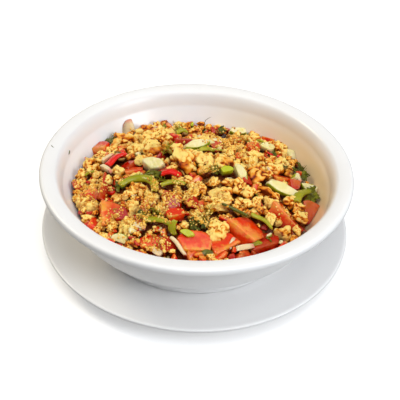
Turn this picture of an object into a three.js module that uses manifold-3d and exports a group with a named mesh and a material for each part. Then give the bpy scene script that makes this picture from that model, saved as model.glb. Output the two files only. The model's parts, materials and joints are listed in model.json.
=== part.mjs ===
// A round white bowl on its own underplate, filled with a heaped salad of tomato, walnut,
// cucumber, pepper, onion and herbs. Millimetres, +Z up, origin on the table under the centre.
//
//   underplate   the shallow plate that the bowl stands on
//   bowl         the deep bowl with its broad rounded lip
//   salad        the heap: one body with the pieces that show on its surface
//   walnut_N     the large walnut pieces that lie on top of the heap

import * as THREE from 'three';
import { mergeVertices } from 'three/addons/utils/BufferGeometryUtils.js';
import Module from 'manifold-3d';

const manifold = await Module();
manifold.setup();

// ---------------------------------------------------------------- driving dimensions

const CLEARANCE = 0.4; // gap kept between pieces that only rest on each other
const TURNS = 48; // sides of the round crockery
const WALL_STEPS = 3; // straight stretches in each curve of the bowl
const PLATE_STEPS = 2; // and of the plate

const PLATE = {
  radius: 102.1, // widest ring of the edge
  edgeZ: 14.8, // height of that ring
  edgeRound: 1.9, // half thickness of the edge
  wellRadius: 70, // flat middle that carries the bowl
  wellZ: 9.7, // top of the flat middle
  undersideZ: 5.2,
  footOuter: 64,
  footInner: 58,
  footSlant: 1.2, // how far the side of the recess leans
  footBend: { out: 1, z: 5 }, // corner that the outside of the foot rounds off
  footEnd: { out: 9, z: 6.2 }, // where it runs into the underside
  underBend: { r: 90, z: 8.6 }, // corner of the underside's curve up to the edge
  edgeInset: 2, // width of the edge's rounding
  edgeUnderBend: 1.2, // heights under and over the widest ring that shape the rounding
  edgeTopBend: 1.4,
  edgeTop: 1,
  slopeBend: { r: 88, z: 11.2 }, // corner of the slope from the edge to the flat middle
};

const BOWL = {
  footZ: 10, // underside of the foot ring, just over the plate
  footOuter: 66.9,
  footInner: 60.5,
  footHeight: 5.6,
  recess: 3.4, // how far the base is sunk inside the foot ring
  lipRadius: 100, // widest ring of the lip
  lipZ: 58.8,
  lipTopRadius: 97.2,
  lipTopZ: 61.4,
  lipUnderZ: 55.2,
  flangeInner: 88.6, // where the broad lip turns down into the bowl
  flangeInnerZ: 58.9,
  creaseRadius: 86, // the crisp line under the lip's inner turn
  creaseZ: 50.5,
  floorRadius: 52,
  floorZ: 19,
  recessSlant: 1, // how far the side of the recess leans
  footChamfer: { in: 0.6, up: 0.8 },
  waistBend: 1, // how far the waist over the foot is drawn in
  waistEnd: { out: 2.2, up: 1.4 }, // where the waist runs into the body
  bodyBend: { r: 86, z: 30 }, // corner of the body's curve
  neck: { r: 91, down: 6 }, // where the body meets the underside of the lip
  neckBend: { r: 92.4, down: 1.4 },
  lipUnderBend: 0.7,
  flangeEnd: { out: 2, up: 1.2 }, // where the flat of the lip starts to turn down
  flangeBend: 0.6,
  wallPull: { in: 7.5, down: 13 }, // pull of the inner wall's curve at the crease
  floorPull: { out: 21, up: 3 }, // and at the floor
};
const ROOM_TOP = 100; // the room inside the bowl is cut off here, well over the heap

const HEAP = {
  radius: 80, // where the heap meets the wall
  edgeZ: 36,
  rise: 17, // how far the middle stands over the edge
  leanX: -0.02, // the heap is a little lower on the right and at the back
  leanY: -0.02,
  swell: 1.2, // depth of the broad lumps of the bare heap
  lumpX: { length: 14, shift: 1 }, // spacing of the lumps along X and along Y
  lumpY: { length: 15, shift: -0.5 },
  slabRadius: 92, // the heap is drawn wider than the bowl's inside, which trims it
  slabRings: 10,
  slabSides: 30,
};

// The small pieces: places on the spiral, how far it reaches, how much places, sizes and tilts
// vary, and how near two pieces may lie as a share of their lengths.
const SCATTER = {
  count: 175,
  reach: 77,
  jitter: 3,
  smallest: 0.75,
  variation: 0.5,
  spacing: 0.36,
  tilt: 36,
};
// Tomato is more common from this share of the radius outwards and in front of this line.
const TOMATO_ZONE = { from: 0.62, frontOf: 15, inside: 1.7, outside: 0.5, total: 2.1 };
const GOLDEN_ANGLE = Math.PI * (3 - Math.sqrt(5));
const FINISHES = {
  underplate: { color: 0xf1f1f0, roughness: 0.22 },
  bowl: { color: 0xf1f1f0, roughness: 0.18 },
  salad: { color: 0xc2662f, roughness: 0.5 },
  walnut: { color: 0xd9a85f, roughness: 0.55 },
};

// The kinds of piece: usual length, height of the piece as a share of that length, how much of
// the heap's surface the kind takes, and of a strip also its width and its bend in radians.
const KINDS = {
  tomato: { size: 13, height: 0.5, share: 0.28 },
  walnut: { size: 9, height: 0.65, share: 0.42 },
  cucumber: { size: 10, height: 0.3, share: 0.08 },
  pepper: { size: 14, height: 0.26, share: 0.09, width: 3.4, bend: 1.4 },
  onion: { size: 9, height: 0.3, share: 0.07, width: 3, bend: 0.8 },
  leaf: { size: 10, height: 0.16, share: 0.06 },
};
const STANDING = 0.3; // share of a piece's height by which its middle stands over the heap
const NOD = 0.5; // a tilted piece also leans along its length, by this share of the tilt

// Proportions of the pieces, as shares of their length.
const WEDGE = { half: 0.5, cut: 0.28, bendX: 0.42, bendY: 0.4, tipX: 0.1, tipY: 0.42 };
const WALNUT = { width: 0.8, furrow: 0.13, across: 5, along: 4, tilt: 6 };
const CUCUMBER_SHIFT = 0.2; // the middle of a half slice lies this far inside its cut
const LEAF = { width: 0.6, narrowing: 1.6, wave: 1.1, waves: 6 };

const WALNUT_LIFT = CLEARANCE + 0.1; // how far over the bare heap a large walnut is cut off
const WALNUT_ROOM = 2.4 * CLEARANCE; // growth of its form where it trims its neighbours

// The pieces that stand out, where they lie on the heap: x and y of the middle, turn about the
// upright and tilt in degrees, and length.
const FEATURES = [
  { kind: 'tomato', x: 30, y: -47, turn: -62, tilt: 24, size: 20 },
  { kind: 'tomato', x: 56, y: -31, turn: -28, tilt: 22, size: 24 },
  { kind: 'tomato', x: 43, y: -56, turn: 30, tilt: 20, size: 15 },
  { kind: 'tomato', x: 0, y: -63, turn: 5, tilt: 18, size: 22 },
  { kind: 'tomato', x: 19, y: -65, turn: 25, tilt: 20, size: 16 },
  { kind: 'tomato', x: -25, y: -63, turn: -12, tilt: 12, size: 17 },
  { kind: 'tomato', x: -53, y: -38, turn: 100, tilt: 16, size: 24 },
  { kind: 'tomato', x: -66, y: 48, turn: 60, tilt: 20, size: 15 },
  { kind: 'tomato', x: -12, y: -41, turn: 70, tilt: 10, size: 12 },
  { kind: 'tomato', x: 72, y: -20, turn: 15, tilt: 12, size: 15 },
  { kind: 'tomato', x: 50, y: 58, turn: 20, tilt: 10, size: 12 },
  { kind: 'tomato', x: -56, y: -47, turn: 150, tilt: 10, size: 14 },
  { kind: 'tomato', x: -61, y: -13, turn: 95, tilt: 10, size: 15 },
  { kind: 'cucumber', x: -29, y: 5, turn: -15, tilt: 8, size: 14 },
  { kind: 'cucumber', x: 55, y: -5, turn: -18, tilt: 22, size: 19 },
  { kind: 'cucumber', x: 71, y: 1, turn: 40, tilt: 24, size: 14 },
  { kind: 'cucumber', x: 2, y: 28, turn: 25, tilt: 18, size: 14 },
  { kind: 'cucumber', x: 29, y: 62, turn: 5, tilt: 16, size: 13 },
  { kind: 'cucumber', x: -4, y: -54, turn: -20, tilt: 14, size: 10 },
  { kind: 'cucumber', x: 19, y: -4, turn: 10, tilt: 16, size: 10 },
  { kind: 'pepper', x: -43, y: -9, turn: 8, tilt: 4, size: 22 },
  { kind: 'pepper', x: -28, y: -18, turn: -62, tilt: 4, size: 15 },
  { kind: 'pepper', x: -14, y: -15, turn: -4, tilt: 6, size: 15 },
  { kind: 'pepper', x: -18, y: -51, turn: -35, tilt: 6, size: 17 },
  { kind: 'pepper', x: 33, y: -36, turn: -38, tilt: 8, size: 19 },
  { kind: 'pepper', x: 68, y: -8, turn: 60, tilt: 8, size: 15 },
  { kind: 'pepper', x: -53, y: 17, turn: 32, tilt: 10, size: 15 },
  { kind: 'pepper', x: -10, y: 38, turn: 20, tilt: 8, size: 12 },
  { kind: 'onion', x: -9, y: -64, turn: -58, tilt: 10, size: 15 },
  { kind: 'onion', x: 29, y: -64, turn: 12, tilt: 8, size: 10 },
  { kind: 'onion', x: -58, y: 14, turn: 34, tilt: 12, size: 12 },
  { kind: 'onion', x: -51, y: 66, turn: 80, tilt: 48, size: 14 },
  { kind: 'leaf', x: 73, y: -9, turn: 10, tilt: 20, size: 13 },
  { kind: 'leaf', x: -12, y: 55, turn: 40, tilt: 18, size: 12 },
  { kind: 'leaf', x: -20, y: 21, turn: 70, tilt: 16, size: 12 },
  { kind: 'leaf', x: 68, y: 24, turn: -60, tilt: 20, size: 14 },
  { kind: 'leaf', x: 2, y: -48, turn: -10, tilt: 14, size: 13 },
];

// The large walnut pieces on top: place, turn, length, width and height over the heap.
const TOP_WALNUTS = [
  { x: -8, y: 7, turn: -68, size: 25, width: 12, height: 8 },
  { x: -51, y: 46, turn: -15, size: 21, width: 15, height: 9 },
  { x: -66, y: 29, turn: 10, size: 13, width: 12, height: 8 },
  { x: -30, y: 51, turn: 20, size: 19, width: 12, height: 8 },
  { x: -39, y: -35, turn: -52, size: 17, width: 10, height: 8 },
  { x: -41, y: -49, turn: 58, size: 16, width: 9, height: 7 },
  { x: 16, y: -21, turn: -4, size: 17, width: 11, height: 8 },
  { x: 30, y: -27, turn: 12, size: 12, width: 10, height: 7 },
  { x: 27, y: -11, turn: 78, size: 17, width: 12, height: 7 },
  { x: 39, y: 5, turn: 60, size: 18, width: 12, height: 8 },
  { x: 14, y: -51, turn: 74, size: 18, width: 12, height: 8 },
  { x: 38, y: 27, turn: 15, size: 15, width: 12, height: 8 },
];

// ---------------------------------------------------------------- shared helpers

// A number from 0 to 1 that is always the same for the same place and purpose.
const WAVE = { index: 12.9898, purpose: 78.233, height: 43758.5453 };
function chance(index, purpose) {
  const wave = Math.sin(index * WAVE.index + purpose * WAVE.purpose) * WAVE.height;
  return wave - Math.floor(wave);
}

function degrees(angle) {
  return THREE.MathUtils.degToRad(angle);
}

// Turns an outline in (radius, height) that starts and ends on the axis about the upright.
function turned(points, sides) {
  const geometry = new THREE.LatheGeometry(points, sides);
  geometry.rotateX(Math.PI / 2);
  return geometry;
}

// Closes a geometry into a solid that can be joined and cut.
function toSolid(geometry) {
  const bare = geometry.clone();
  for (const name of Object.keys(bare.attributes)) {
    if (name !== 'position') bare.deleteAttribute(name);
  }
  const merged = mergeVertices(bare, 1e-4);
  const corners = [];
  for (let i = 0; i < merged.index.count; i += 3) {
    const [a, b, c] = [0, 1, 2].map((k) => merged.index.getX(i + k));
    if (a !== b && b !== c && c !== a) corners.push(a, b, c);
  }
  return new manifold.Manifold(new manifold.Mesh({
    numProp: 3,
    vertProperties: new Float32Array(merged.attributes.position.array),
    triVerts: new Uint32Array(corners),
  }));
}

// Back from a solid to a geometry, as its largest body: loose scraps and sealed hollows go.
function toGeometry(solid) {
  const bodies = solid.decompose().sort((a, b) => b.volume() - a.volume());
  const mesh = bodies[0].getMesh();
  const geometry = new THREE.BufferGeometry();
  geometry.setAttribute('position', new THREE.BufferAttribute(mesh.vertProperties, 3));
  geometry.setIndex(new THREE.BufferAttribute(mesh.triVerts, 1));
  return geometry;
}

function namedMesh(name, geometry, finish) {
  geometry.computeVertexNormals();
  const material = new THREE.MeshStandardMaterial({ ...finish, metalness: 0 });
  const mesh = new THREE.Mesh(geometry, material);
  mesh.name = name;
  return mesh;
}

// ---------------------------------------------------------------- crockery

function plateGeometry() {
  const {
    radius, edgeZ, footOuter, footBend, footEnd, underBend, edgeInset, slopeBend,
  } = PLATE;
  const inset = radius - edgeInset;
  const outline = new THREE.Path();
  outline.moveTo(0, PLATE.undersideZ);
  outline.lineTo(PLATE.footInner - PLATE.footSlant, PLATE.undersideZ);
  outline.lineTo(PLATE.footInner, 0);
  outline.lineTo(footOuter, 0);
  outline.quadraticCurveTo(
    footOuter + footBend.out, footBend.z,
    footOuter + footEnd.out, footEnd.z,
  );
  outline.quadraticCurveTo(underBend.r, underBend.z, inset, edgeZ - PLATE.edgeRound);
  outline.quadraticCurveTo(radius, edgeZ - PLATE.edgeUnderBend, radius, edgeZ);
  outline.quadraticCurveTo(radius, edgeZ + PLATE.edgeTopBend, inset, edgeZ + PLATE.edgeTop);
  outline.quadraticCurveTo(slopeBend.r, slopeBend.z, PLATE.wellRadius, PLATE.wellZ);
  outline.lineTo(0, PLATE.wellZ);
  return turned(outline.getPoints(PLATE_STEPS), TURNS);
}

// The bowl's inner wall from the crease down to the middle of the floor, drawn a gap inside it.
function innerWall(outline, gap) {
  const creaseR = BOWL.creaseRadius - gap;
  outline.bezierCurveTo(
    creaseR - BOWL.wallPull.in, BOWL.creaseZ - BOWL.wallPull.down,
    BOWL.floorRadius + BOWL.floorPull.out - gap, BOWL.floorZ + gap + BOWL.floorPull.up,
    BOWL.floorRadius - gap, BOWL.floorZ + gap,
  );
  outline.lineTo(0, BOWL.floorZ + gap);
}

function bowlGeometry() {
  const {
    footZ, footInner, footOuter, footChamfer, waistEnd, bodyBend, neck, neckBend,
    lipRadius, lipTopRadius, lipTopZ, lipUnderZ, flangeInner, flangeInnerZ, flangeEnd,
  } = BOWL;
  const baseZ = footZ + BOWL.recess;
  const footTop = footZ + BOWL.footHeight;
  const outline = new THREE.Path();
  outline.moveTo(0, baseZ);
  outline.lineTo(footInner - BOWL.recessSlant, baseZ);
  outline.lineTo(footInner, footZ);
  outline.lineTo(footOuter - footChamfer.in, footZ);
  outline.lineTo(footOuter, footZ + footChamfer.up);
  outline.quadraticCurveTo(
    footOuter - BOWL.waistBend, footTop,
    footOuter + waistEnd.out, footTop + waistEnd.up,
  );
  outline.quadraticCurveTo(bodyBend.r, bodyBend.z, neck.r, lipUnderZ - neck.down);
  outline.quadraticCurveTo(neckBend.r, lipUnderZ - neckBend.down, lipTopRadius, lipUnderZ);
  outline.quadraticCurveTo(lipRadius, lipUnderZ + BOWL.lipUnderBend, lipRadius, BOWL.lipZ);
  outline.quadraticCurveTo(lipRadius, lipTopZ, lipTopRadius, lipTopZ);
  outline.lineTo(flangeInner + flangeEnd.out, flangeInnerZ + flangeEnd.up);
  outline.quadraticCurveTo(
    flangeInner - BOWL.flangeBend, flangeInnerZ,
    BOWL.creaseRadius, BOWL.creaseZ,
  );
  innerWall(outline, 0);
  return turned(outline.getPoints(WALL_STEPS), TURNS);
}

// The room inside the bowl, a clearance inside its wall, open upwards to well over the heap.
function roomInside() {
  const outline = new THREE.Path();
  outline.moveTo(0, ROOM_TOP);
  outline.lineTo(BOWL.creaseRadius - CLEARANCE, ROOM_TOP);
  outline.lineTo(BOWL.creaseRadius - CLEARANCE, BOWL.creaseZ);
  innerWall(outline, CLEARANCE);
  const points = outline.getPoints(WALL_STEPS).reverse();
  return turned(points, TURNS);
}

// ---------------------------------------------------------------- the heap

// Height of the bare heap over the table.
function heapHeight(x, y) {
  const across = Math.hypot(x, y) / HEAP.radius;
  const dome = HEAP.rise * (1 - across ** 2);
  const lean = HEAP.leanX * x + HEAP.leanY * y;
  const alongX = x / HEAP.lumpX.length + HEAP.lumpX.shift;
  const alongY = y / HEAP.lumpY.length + HEAP.lumpY.shift;
  const lumps = Math.sin(alongX) * Math.cos(alongY);
  return HEAP.edgeZ + dome + lean + HEAP.swell * lumps;
}

// A round slab whose top follows the bare heap, raised by a lift.
function heapSlab(lift) {
  const reach = HEAP.slabRadius;
  const flatTop = 1; // height of the top before it follows the heap
  const points = [new THREE.Vector2(0, 0), new THREE.Vector2(reach, 0)];
  for (let ring = HEAP.slabRings; ring >= 0; ring -= 1) {
    points.push(new THREE.Vector2((reach * ring) / HEAP.slabRings, flatTop));
  }
  const geometry = turned(points, HEAP.slabSides);
  const position = geometry.attributes.position;
  for (let i = 0; i < position.count; i += 1) {
    if (position.getZ(i) > flatTop / 2) {
      position.setZ(i, heapHeight(position.getX(i), position.getY(i)) + lift);
    }
  }
  return geometry;
}

// ---------------------------------------------------------------- pieces of food
// Each is centred on its own origin: X the long way, Z its upper side.

// A wedge of tomato: two cut faces that meet inside and a rounded skin.
function tomatoPiece(size, height) {
  const outline = new THREE.Shape();
  outline.moveTo(-size * WEDGE.half, -size * WEDGE.cut);
  outline.lineTo(size * WEDGE.half, -size * WEDGE.cut);
  outline.quadraticCurveTo(
    size * WEDGE.bendX, size * WEDGE.bendY,
    -size * WEDGE.tipX, size * WEDGE.tipY,
  );
  const geometry = new THREE.ExtrudeGeometry(outline, {
    depth: height, bevelEnabled: false, curveSegments: 2,
  });
  geometry.translate(0, 0, -height / 2);
  return geometry;
}

// A broken piece of walnut: a lump with furrows along its length.
function walnutPiece(size, width, height, detail, index) {
  const geometry = new THREE.IcosahedronGeometry(1, detail);
  const position = geometry.attributes.position;
  const point = new THREE.Vector3();
  for (let i = 0; i < position.count; i += 1) {
    point.fromBufferAttribute(position, i);
    const across = Math.cos(point.y * WALNUT.across + index);
    const along = Math.sin(point.x * WALNUT.along + index * 2);
    point.multiplyScalar(1 + WALNUT.furrow * across * along);
    point.multiply(new THREE.Vector3(size / 2, width / 2, height / 2));
    position.setXYZ(i, point.x, point.y, point.z);
  }
  return geometry;
}

// A piece of a cucumber slice: half a disc with its skin round the curve.
function cucumberPiece(size, height) {
  const outline = new THREE.Shape();
  outline.absarc(0, 0, size / 2, 0, Math.PI, false);
  const geometry = new THREE.ExtrudeGeometry(outline, {
    depth: height, bevelEnabled: false, curveSegments: 4,
  });
  geometry.translate(0, -size * CUCUMBER_SHIFT, -height / 2);
  return geometry;
}

// A bent strip, such as a piece of a pepper ring or a sliver of onion.
function bentStrip(size, width, height, bend) {
  const radius = size / bend;
  const outline = new THREE.Shape();
  const from = Math.PI / 2 - bend / 2;
  outline.absarc(0, 0, radius + width / 2, from, from + bend, false);
  outline.absarc(0, 0, radius - width / 2, from + bend, from, true);
  const geometry = new THREE.ExtrudeGeometry(outline, {
    depth: height, bevelEnabled: false, curveSegments: 3,
  });
  geometry.translate(0, -radius, -height / 2);
  return geometry;
}

// A thin wavy leaf, its upper and lower faces split alike.
function leafPiece(size, height) {
  const geometry = new THREE.BoxGeometry(size, size * LEAF.width, height, 3, 1, 1);
  const position = geometry.attributes.position;
  for (let i = 0; i < position.count; i += 1) {
    const along = position.getX(i) / size;
    const narrowing = 1 - LEAF.narrowing * along ** 2;
    position.setY(i, position.getY(i) * narrowing);
    position.setZ(i, position.getZ(i) + LEAF.wave * Math.sin(along * LEAF.waves));
  }
  return geometry;
}

function foodPiece(kind, size, index) {
  const { width, bend } = KINDS[kind];
  const height = size * KINDS[kind].height;
  if (kind === 'tomato') return tomatoPiece(size, height);
  if (kind === 'walnut') return walnutPiece(size, size * WALNUT.width, height, 0, index);
  if (kind === 'cucumber') return cucumberPiece(size, height);
  if (kind === 'leaf') return leafPiece(size, height);
  return bentStrip(size, width, height, bend);
}

// Lays a piece on the heap, its middle a lift over the bare surface.
function laid(geometry, { x, y, turn, tilt }, lift) {
  const tipping = new THREE.Euler(degrees(tilt), degrees(tilt * NOD), degrees(turn), 'ZYX');
  const matrix = new THREE.Matrix4().makeRotationFromEuler(tipping);
  matrix.setPosition(x, y, heapHeight(x, y) + lift);
  return geometry.applyMatrix4(matrix);
}

// Which kind lies at a place on the spiral: tomato towards the front and left edge, walnut
// over the middle and the back, the rest in between.
function kindAt(index, x, y) {
  const edge = Math.hypot(x, y) / HEAP.radius;
  const inZone = edge > TOMATO_ZONE.from && y < TOMATO_ZONE.frontOf;
  const tomatoBias = inZone ? TOMATO_ZONE.inside : TOMATO_ZONE.outside;
  const draw = chance(index, 1);
  let reach = 0;
  const weights = Object.entries(KINDS).map(([kind, { share }]) => {
    const bias = { tomato: tomatoBias, walnut: TOMATO_ZONE.total - tomatoBias }[kind] ?? 1;
    return [kind, share * bias];
  });
  const total = weights.reduce((sum, [, weight]) => sum + weight, 0);
  for (const [kind, weight] of weights) {
    reach += weight / total;
    if (draw < reach) return kind;
  }
  return 'walnut';
}

// The small pieces, spread over the heap on a spiral and kept off the ones that stand out.
function scatteredPieces() {
  const taken = [...FEATURES, ...TOP_WALNUTS];
  const pieces = [];
  for (let index = 0; index < SCATTER.count; index += 1) {
    const radius = SCATTER.reach * Math.sqrt((index + 0.5) / SCATTER.count);
    const angle = index * GOLDEN_ANGLE;
    const x = radius * Math.cos(angle) + SCATTER.jitter * (chance(index, 2) - 0.5);
    const y = radius * Math.sin(angle) + SCATTER.jitter * (chance(index, 3) - 0.5);
    const kind = kindAt(index, x, y);
    const growth = SCATTER.smallest + SCATTER.variation * chance(index, 4);
    const size = KINDS[kind].size * growth;
    const free = taken.every((other) => (
      Math.hypot(x - other.x, y - other.y) > SCATTER.spacing * (other.size + size)
    ));
    if (!free) continue;
    const turn = 360 * chance(index, 5);
    const tilt = SCATTER.tilt * (chance(index, 6) - 0.5);
    const place = { x, y, turn, tilt };
    pieces.push(laid(foodPiece(kind, size, index), place, STANDING * size * KINDS[kind].height));
  }
  return pieces;
}

// One large walnut, its underside cut to lie a clearance over the bare heap.
function topWalnut(walnut, index, growth) {
  const { size, width, height, turn, x, y } = walnut;
  const lump = walnutPiece(size + growth, width + growth, height + growth, 1, index);
  return laid(lump, { x, y, turn, tilt: WALNUT.tilt }, height * STANDING);
}

function saladSolids() {
  const room = toSolid(roomInside());
  const bareHeap = toSolid(heapSlab(0)).intersect(room);
  const raisedHeap = toSolid(heapSlab(WALNUT_LIFT));
  const walnuts = TOP_WALNUTS.map((walnut, index) => (
    toSolid(topWalnut(walnut, index, 0)).subtract(raisedHeap).intersect(room)
  ));
  const features = FEATURES.map((feature, index) => {
    const { kind, size } = feature;
    return laid(foodPiece(kind, size, index), feature, STANDING * size * KINDS[kind].height);
  });
  let pieces = bareHeap;
  for (const geometry of [...features, ...scatteredPieces()]) {
    pieces = pieces.add(toSolid(geometry));
  }
  // Pieces that would reach into a large walnut are shortened round it.
  for (const [index, walnut] of TOP_WALNUTS.entries()) {
    pieces = pieces.subtract(toSolid(topWalnut(walnut, index, WALNUT_ROOM)));
  }
  return { heap: pieces.intersect(room).add(bareHeap), walnuts };
}

// ---------------------------------------------------------------- the whole

const tableware = new THREE.Group();
tableware.add(namedMesh('underplate', plateGeometry(), FINISHES.underplate));
tableware.add(namedMesh('bowl', bowlGeometry(), FINISHES.bowl));

const { heap, walnuts } = saladSolids();
tableware.add(namedMesh('salad', toGeometry(heap), FINISHES.salad));
walnuts.forEach((walnut, index) => {
  const name = `walnut_${index + 1}`;
  tableware.add(namedMesh(name, toGeometry(walnut), FINISHES.walnut));
});

export default tableware;
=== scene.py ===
"""A white bowl of tomato walnut salad on its underplate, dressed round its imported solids.

The crockery is turned from outlines, the heap is a bed with hundreds of pieces laid on it, and
ground walnut is sprinkled over what lies open to the sky. Piece geometry is worked out in
millimetres and made into meshes in metres.
"""

from __future__ import annotations

import json
import logging
import math
from dataclasses import dataclass, field
from enum import Enum, IntEnum
from functools import cached_property, partial, reduce
from typing import Callable

import bmesh
import bpy
import numpy as np
from bpy.types import Material, Mesh, Node, NodeTree, Object
from bpy.types import NodeSocket as Socket
from mathutils import Matrix, Vector

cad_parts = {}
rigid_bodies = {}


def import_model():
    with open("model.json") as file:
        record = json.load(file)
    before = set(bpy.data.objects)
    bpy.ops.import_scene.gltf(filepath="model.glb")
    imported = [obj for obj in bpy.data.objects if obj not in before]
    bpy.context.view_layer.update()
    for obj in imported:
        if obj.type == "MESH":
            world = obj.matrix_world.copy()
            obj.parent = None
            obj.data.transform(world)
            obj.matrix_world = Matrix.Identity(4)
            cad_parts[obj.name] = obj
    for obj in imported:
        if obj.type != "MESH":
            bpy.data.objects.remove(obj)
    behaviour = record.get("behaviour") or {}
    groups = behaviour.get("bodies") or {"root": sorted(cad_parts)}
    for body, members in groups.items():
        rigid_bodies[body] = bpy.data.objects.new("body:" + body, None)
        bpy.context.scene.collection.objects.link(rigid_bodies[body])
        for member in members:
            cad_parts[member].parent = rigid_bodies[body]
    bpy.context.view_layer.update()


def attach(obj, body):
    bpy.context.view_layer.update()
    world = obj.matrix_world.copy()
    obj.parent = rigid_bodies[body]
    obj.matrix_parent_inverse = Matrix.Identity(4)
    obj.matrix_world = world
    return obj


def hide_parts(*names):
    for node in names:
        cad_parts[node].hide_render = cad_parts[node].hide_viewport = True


LOG = logging.getLogger("salad")
MM = 0.001
GOLDEN_ANGLE = math.pi * (3 - math.sqrt(5))
Points = np.ndarray
Faces = list[tuple[int, ...]]
Span = tuple[float, float]
Triple = tuple[float, float, float]
Colour = tuple[float, float, float, float]


# ---------------------------------------------------------------- numbers and noise

WAVE_HEIGHT = 43758.5453  # a wave this high has digits behind its point that look random
CHANCE_WAVES = (12.9898, 78.233)
LATTICE_WAVES = np.array([127.1, 311.7, 74.7])
SEED_WAVE = 53.7
LAYER_SCALE = 2.03
LAYER_SHIFT = 7.1


def chance(index: int, purpose: int) -> float:
    """A number from 0 to 1 that is always the same for one place and purpose."""
    wave = math.sin(index * CHANCE_WAVES[0] + purpose * CHANCE_WAVES[1]) * WAVE_HEIGHT
    return wave - math.floor(wave)


def wobble(index: int, purpose: int) -> float:
    """A number from -1 to 1 that is always the same for one place and purpose."""
    return 2 * chance(index, purpose) - 1


def lattice_noise(points: Points, seed: float) -> Points:
    """Smooth noise between -1 and 1.

    Args:
        points: Where it is read, one row a point.
        seed: Which noise is read.

    Returns:
        One value a point.
    """
    cell = np.floor(points)
    part = points - cell
    ease = part * part * (3 - 2 * part)
    total = np.zeros(len(points))
    for corner in range(8):
        step = np.array([corner & 1, corner >> 1 & 1, corner >> 2 & 1])
        weight = np.prod(np.where(step, ease, 1 - ease), axis=1)
        value = np.sin((cell + step) @ LATTICE_WAVES + seed * SEED_WAVE) * WAVE_HEIGHT
        total += weight * (value - np.floor(value))
    return 2 * total - 1


def layered_noise(points: Points, seed: float, layers: int = 3) -> Points:
    """Lattice noise with finer layers added, each half as strong as the one before.

    Args:
        points: Where it is read, one row a point.
        seed: Which noise is read.
        layers: How many layers there are.

    Returns:
        One value a point.
    """
    total = np.zeros(len(points))
    for layer in range(layers):
        finer = points * LAYER_SCALE**layer + LAYER_SHIFT * layer
        total += lattice_noise(finer, seed + layer) / 2**layer
    return total


def linear(red: int, green: int, blue: int) -> Colour:
    """Turns a display colour into the linear colour that shaders take.

    Args:
        red: The first channel, from 0 to 255.
        green: The second.
        blue: The third.

    Returns:
        The linear colour, opaque.
    """
    def channel(value: float) -> float:
        """One channel, by the sRGB curve."""
        return value / 12.92 if value <= 0.04045 else ((value + 0.055) / 1.055) ** 2.4

    return (channel(red / 255), channel(green / 255), channel(blue / 255), 1.0)


# ---------------------------------------------------------------- meshes


def write_mark(mesh: Mesh, name: str, values: object, kind: str = "FLOAT") -> None:
    """Stores one value for each point of a mesh.

    Args:
        mesh: The mesh.
        name: The attribute's name.
        values: The values, in the order of the points.
        kind: The attribute's type.
    """
    key = "vector" if kind == "FLOAT_VECTOR" else "value"
    mesh.attributes.new(name, kind, "POINT").data.foreach_set(key, np.array(values).ravel())


def read_vectors(holder: object, key: str = "co") -> Points:
    """Reads one vector from each element of a mesh.

    Args:
        holder: The mesh's vertices, polygons or vertex normals.
        key: The name of the vector.

    Returns:
        The vectors, one row an element.
    """
    values = np.empty(len(holder) * 3)
    holder.foreach_get(key, values)
    return values.reshape(-1, 3)


@dataclass
class Form:
    """A closed shape: corners in millimetres, faces, and values carried by each corner."""

    corners: Points
    faces: Faces
    marks: dict[str, Points] = field(default_factory=dict)

    def to_unit_length(self) -> Form:
        """The same form, centred and scaled so that its long way along X is 1."""
        low, high = self.corners.min(0), self.corners.max(0)
        return Form((self.corners - (low + high) / 2) / (high[0] - low[0]), self.faces, self.marks)

    def to_mesh(self, name: str, scale: float = MM) -> Mesh:
        """Makes a smooth-shaded mesh.

        Args:
            name: The mesh's name.
            scale: Metres for one unit of the form.

        Returns:
            The mesh, with one float attribute for each mark.
        """
        mesh = bpy.data.meshes.new(name)
        mesh.from_pydata((self.corners * scale).tolist(), [], self.faces)
        for mark, values in self.marks.items():
            write_mark(mesh, mark, values)
        mesh.update()
        mesh.shade_smooth()
        return mesh


def show(mesh: Mesh, material: Material) -> Object:
    """Puts a mesh into the scene, under its own name and at the origin.

    Args:
        mesh: The mesh, its place already in it.
        material: The finish.

    Returns:
        The new object.
    """
    thing = bpy.data.objects.new(mesh.name, mesh)
    bpy.context.scene.collection.objects.link(thing)
    mesh.materials.clear()
    mesh.materials.append(material)
    return thing


def settle(piece: Object, slot: str, *nodes: str) -> None:
    """Lets a piece ride with the object and hides the solids it stands for.

    Args:
        piece: The piece.
        slot: Not used.
        *nodes: The solids that the piece replaces.
    """
    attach(piece, "root")
    if nodes:
        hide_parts(*nodes)
    LOG.info("%s: %d faces", piece.name, len(piece.data.polygons))


def ring_faces(rings: int, sides: int) -> Faces:
    """Faces round a stack of rings that a single corner closes at each end.

    Args:
        rings: How many rings there are; their corners follow the first single corner.
        sides: How many corners each ring has.

    Returns:
        The faces.
    """
    faces: Faces = []
    last_ring = 1 + (rings - 1) * sides
    for side in range(sides):
        after = (side + 1) % sides
        faces.append((0, 1 + side, 1 + after))
        for low in range(1, last_ring, sides):
            high = low + sides
            faces.append((low + side, high + side, high + after, low + after))
        faces.append((last_ring + sides, last_ring + after, last_ring + side))
    return faces


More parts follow.
